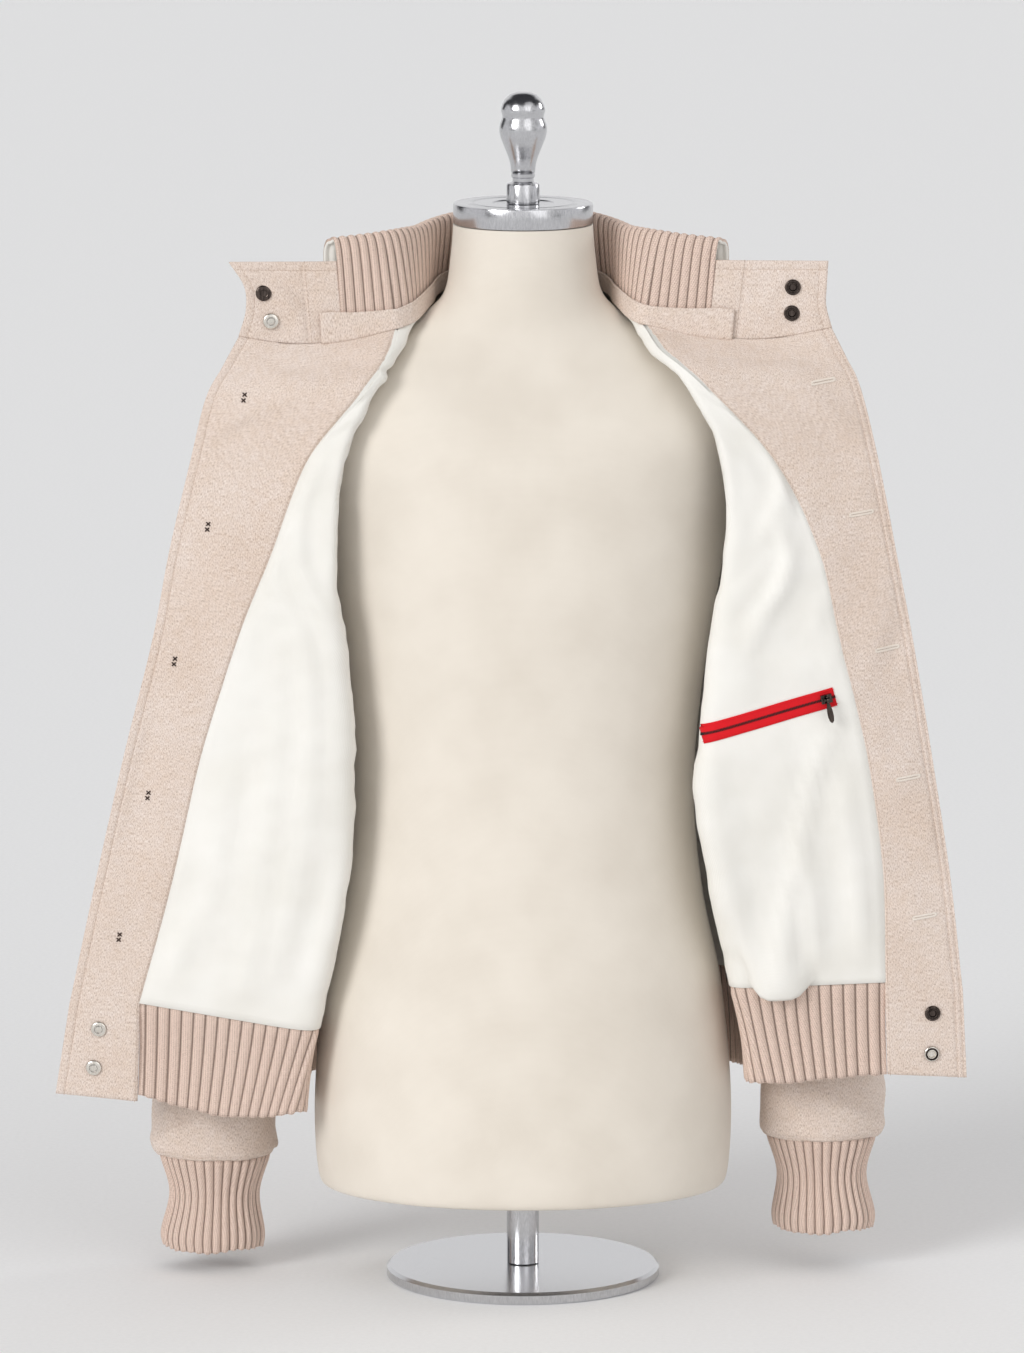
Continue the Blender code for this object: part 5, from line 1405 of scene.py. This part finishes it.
def set_on(name, profile, out, material, painted_shade=()):
    """Spin a fastening and set it on its own node's foot, along the node's short axis."""
    node, _ = name.split(".")
    points = np.array([v.co for v in frame["nodes"][node].data.vertices])
    _, _, axes = np.linalg.svd(points - points.mean(axis=0))
    axis = axes[2] * np.sign(axes[2] @ out)
    low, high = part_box(node)
    centre = np.array((low + high) / 2)
    foot = centre + axis * ((points @ axis).min() - centre @ axis)
    made = spin(name, profile, SPUN_SIDES, material, [node])
    # Painted shade: the listed rings, on the rim's side and in the groove, are set in black
    # nickel.
    made.data.materials.append(black_nickel)
    for number, face in enumerate(made.data.polygons):
        face.material_index = number // SPUN_SIDES in painted_shade
    first = unit(np.cross(axis, (0.0, 0.0, 1.0)))
    local = np.array([v.co for v in made.data.vertices])
    points = foot + local @ np.stack([first, np.cross(axis, first), axis])
    made.data.vertices.foreach_set("co", points.ravel())
    outward(made.data)


SPUN_SIDES = 40
# Painted shade: these rings of each snap are black nickel, darker than a bright snap's plating.
SHADED_RINGS = {LEFT: (1, 2, 6), RIGHT: (1, 2, 5, 6, 7, 8)}       # the rings of faces that are dark
toward = np.array((0.0, -1.0, 0.0))
for side, word in SIDES:
    capped = side == LEFT
    for where in ("hem", "collar"):
        for number in (1, 2):
            bright = number == 2 and (capped or where == "hem") or capped and where == "hem"
            set_on(f"snap_{where}_{word}_{number}.metal", CAP if capped else SOCKET, toward,
                   bright_nickel if bright else black_nickel,
                   SHADED_RINGS[side])
for number in range(1, 6):
    set_on(f"button_{number}.horn", BUTTON, -toward, horn)
print("snaps and buttons set")

# %% [markdown]
# ## The zip of the inner pocket
#
# A red tape lies on the lining and rises to the right. A black coil runs along its middle up
# to the slider, whose teardrop pull hangs on a small joint.

# %% Zip tape and coil
TAPE_WIDE, TAPE_THICK, TAPE_GAP = 15.0, 0.6 * MM, 0.25 * MM
TAPE_ROWS, TAPE_STEPS = 11, 71
zip_way = unit(ZIP_TO - ZIP_FROM)
zip_side = np.array((-zip_way[1], zip_way[0]))
zip_long = float(np.linalg.norm(ZIP_TO - ZIP_FROM))
spots = [ZIP_FROM + zip_way * a + zip_side * b
         for b in np.linspace(-TAPE_WIDE / 2, TAPE_WIDE / 2, TAPE_ROWS)
         for a in np.linspace(0, zip_long, TAPE_STEPS)]
tape, tape_out = (v.reshape(TAPE_ROWS, TAPE_STEPS, 3)
                  for v in land(faces_of["lining", RIGHT], spots))
tape = tape + tape_out * TAPE_GAP
tape_face = tape + tape_out * TAPE_THICK
shell("zip_tape_cloth", tape, tape_face, flat_map(tape), red_tape, ["zip_tape"])
coil_black, _, coil_shader = new_material("zip_coil_nylon_black")
coil_shader.inputs["Base Color"].default_value = linear("#100c0c")
coil_shader.inputs["Roughness"].default_value = 0.6
middle = TAPE_ROWS // 2
sewn("zip_coil", [(tape_face[middle], tape_out[middle])], coil_black, "tape", 1.2, 2.7, 1.0,
     turn=TURN / 4, wander=0, lift=0.15)
sewn("zip_tape_stitches", [(tape_face[k], tape_out[k]) for k in (1, TAPE_ROWS - 2)], red_tape,
     "tape", 2.6, 2.1, 0.45, seed=6)


# %% Zip slider and pull
SHARP = math.radians(25)


def refined(node, body, rounding):
    """A metal piece made again from its solid, with every sharp edge rounded."""
    mesh = frame["nodes"][node].data.copy()
    mesh.name = node + "_metal"
    mesh.materials.clear()
    work = bmesh.new()
    work.from_mesh(mesh)
    sharp = [e for e in work.edges if e.is_manifold and e.calc_face_angle() > SHARP]
    bmesh.ops.bevel(work, geom=sharp, offset=rounding, segments=3, profile=0.5,
                    affect="EDGES", clamp_overlap=True)
    work.to_mesh(mesh)
    work.free()
    mesh.shade_smooth()
    mesh.set_sharp_from_angle(angle=math.radians(50))
    put_in_scene(mesh.name, mesh, black_nickel, [node], body=body)


refined("zip_slider", JACKET, 0.25 * MM)
refined("zip_pull", PULL, 0.2 * MM)
print("zip:", round(zip_long), "mm long")

# %% [markdown]
# ## The room
#
# A pale floor that reaches past the picture's edges, an even pale sky, a soft sun from the
# left, a weaker one from the right and a faint one from behind: the flat light of a studio.
# The camera doesn't see the dark flats that stand at both sides, and only metal mirrors the
# dark ceiling.

# %% Floor and light
REACH = 60
corners = [(x * REACH, y * REACH, 0) for x, y in ((-1, -1), (1, -1), (1, 1), (-1, 1))]
floor = linked("floor", new_mesh("floor", corners, [], [(0, 1, 2, 3)]))
paper, paper_tree, paper_shader = new_material("paper_floor_pale")
grain = noise(paper_tree, coordinates(paper_tree, "Object"), 4 * MM, 2.0)
finish(paper_tree, paper_shader, ramp(paper_tree, grain, (0.3, "#f1f1f1"), (0.7, "#f5f5f5")),
       Roughness=0.9)
floor.data.materials.append(paper)

world = bpy.data.worlds.new("studio")
bpy.context.scene.world = world
world.use_nodes = True
air = world.node_tree
sky = air.nodes["Background"]
SKY, FLAT, CEILING = "#f6f6f7", "#3a3a3d", "#3c3c40"
SKY_STRENGTH, FOR_CAMERA, FOR_CLOTH = 0.93, -0.12, -0.22    # and how much less each ray sees
look = add(air, "ShaderNodeSeparateXYZ", {"Vector": coordinates(air, "Generated")}).outputs
ray = add(air, "ShaderNodeLightPath").outputs
unseen = calc(air, "SUBTRACT", 1.0, ray["Is Camera Ray"])
mirror_side = calc(air, "MULTIPLY", calc(air, "ABSOLUTE", look["X"]), unseen)
flats = ramp(air, mirror_side, (0.0, SKY), (0.93, "#e8e8ea"), (0.60, SKY), (0.68, FLAT),
             (0.86, FLAT))
overhead = add(air, "ShaderNodeMapRange", {"Value": look["Z"], 1: 0.5, 2: 0.72}).outputs[0]
mirrored = calc(air, "MULTIPLY", overhead, ray["Is Glossy Ray"])
air.links.new(mixed(air, mirrored, flats, linear(CEILING)), sky.inputs["Color"])
seen = calc(air, "MULTIPLY_ADD", ray["Is Camera Ray"], FOR_CAMERA, SKY_STRENGTH)
air.links.new(calc(air, "MULTIPLY_ADD", ray["Is Diffuse Ray"], FOR_CLOTH, seen),
              sky.inputs["Strength"])
# Each lamp's name, its angles in degrees, its strength and how wide it is in degrees.
LAMPS = (("key", (68, 0, -44), 1.55, 26), ("fill", (62, 0, 40), 0.5, 60),
         ("rear", (74, 0, 116), 0.5, 16))
for name, angle, strength, spread in LAMPS:
    lamp = bpy.data.lights.new(name, "SUN")
    lamp.energy, lamp.angle = strength, math.radians(spread)
    linked(name, lamp).rotation_euler = [math.radians(a) for a in angle]
print("light: one even sky and three soft suns")

# %% [markdown]
# ## What each cloth was cut to
#
# Widths and lengths are cutting sizes without seam allowance, in millimetres, and the share
# says how much of that rectangle the cut fills. Ribs are given as knitted.

# %% Cuts
def cut(name, width, length, share):
    piece = bpy.data.objects[name]
    area = sum(p.area for p in piece.data.polygons) / 2
    print(f"{name}: {area / (share * width * length * MM * MM):.2f} of its cut")


for side, word in SIDES:
    cut("wool_front_" + word, 290, 680, 0.78)
    cut("wool_facing_" + word, 135, 680, 0.50)
    cut("lining_front_" + word, 232, 605, 0.80)
    cut("wool_sleeve_" + word, 330, 580, 0.89)
    cut("rib_cuff_" + word, 240, 74, 1.0)
    cut("wool_tab_" + word, 90, 60, 0.95)
cut("wool_back", 560, 600, 0.85)
cut("rib_hem", 1130, 92, 1.0)
cut("rib_collar", 470, 150, 1.0)
cut("wool_neck_band", 480, 22, 0.80)
cut("zip_tape_cloth", 108, 15, 1.0)
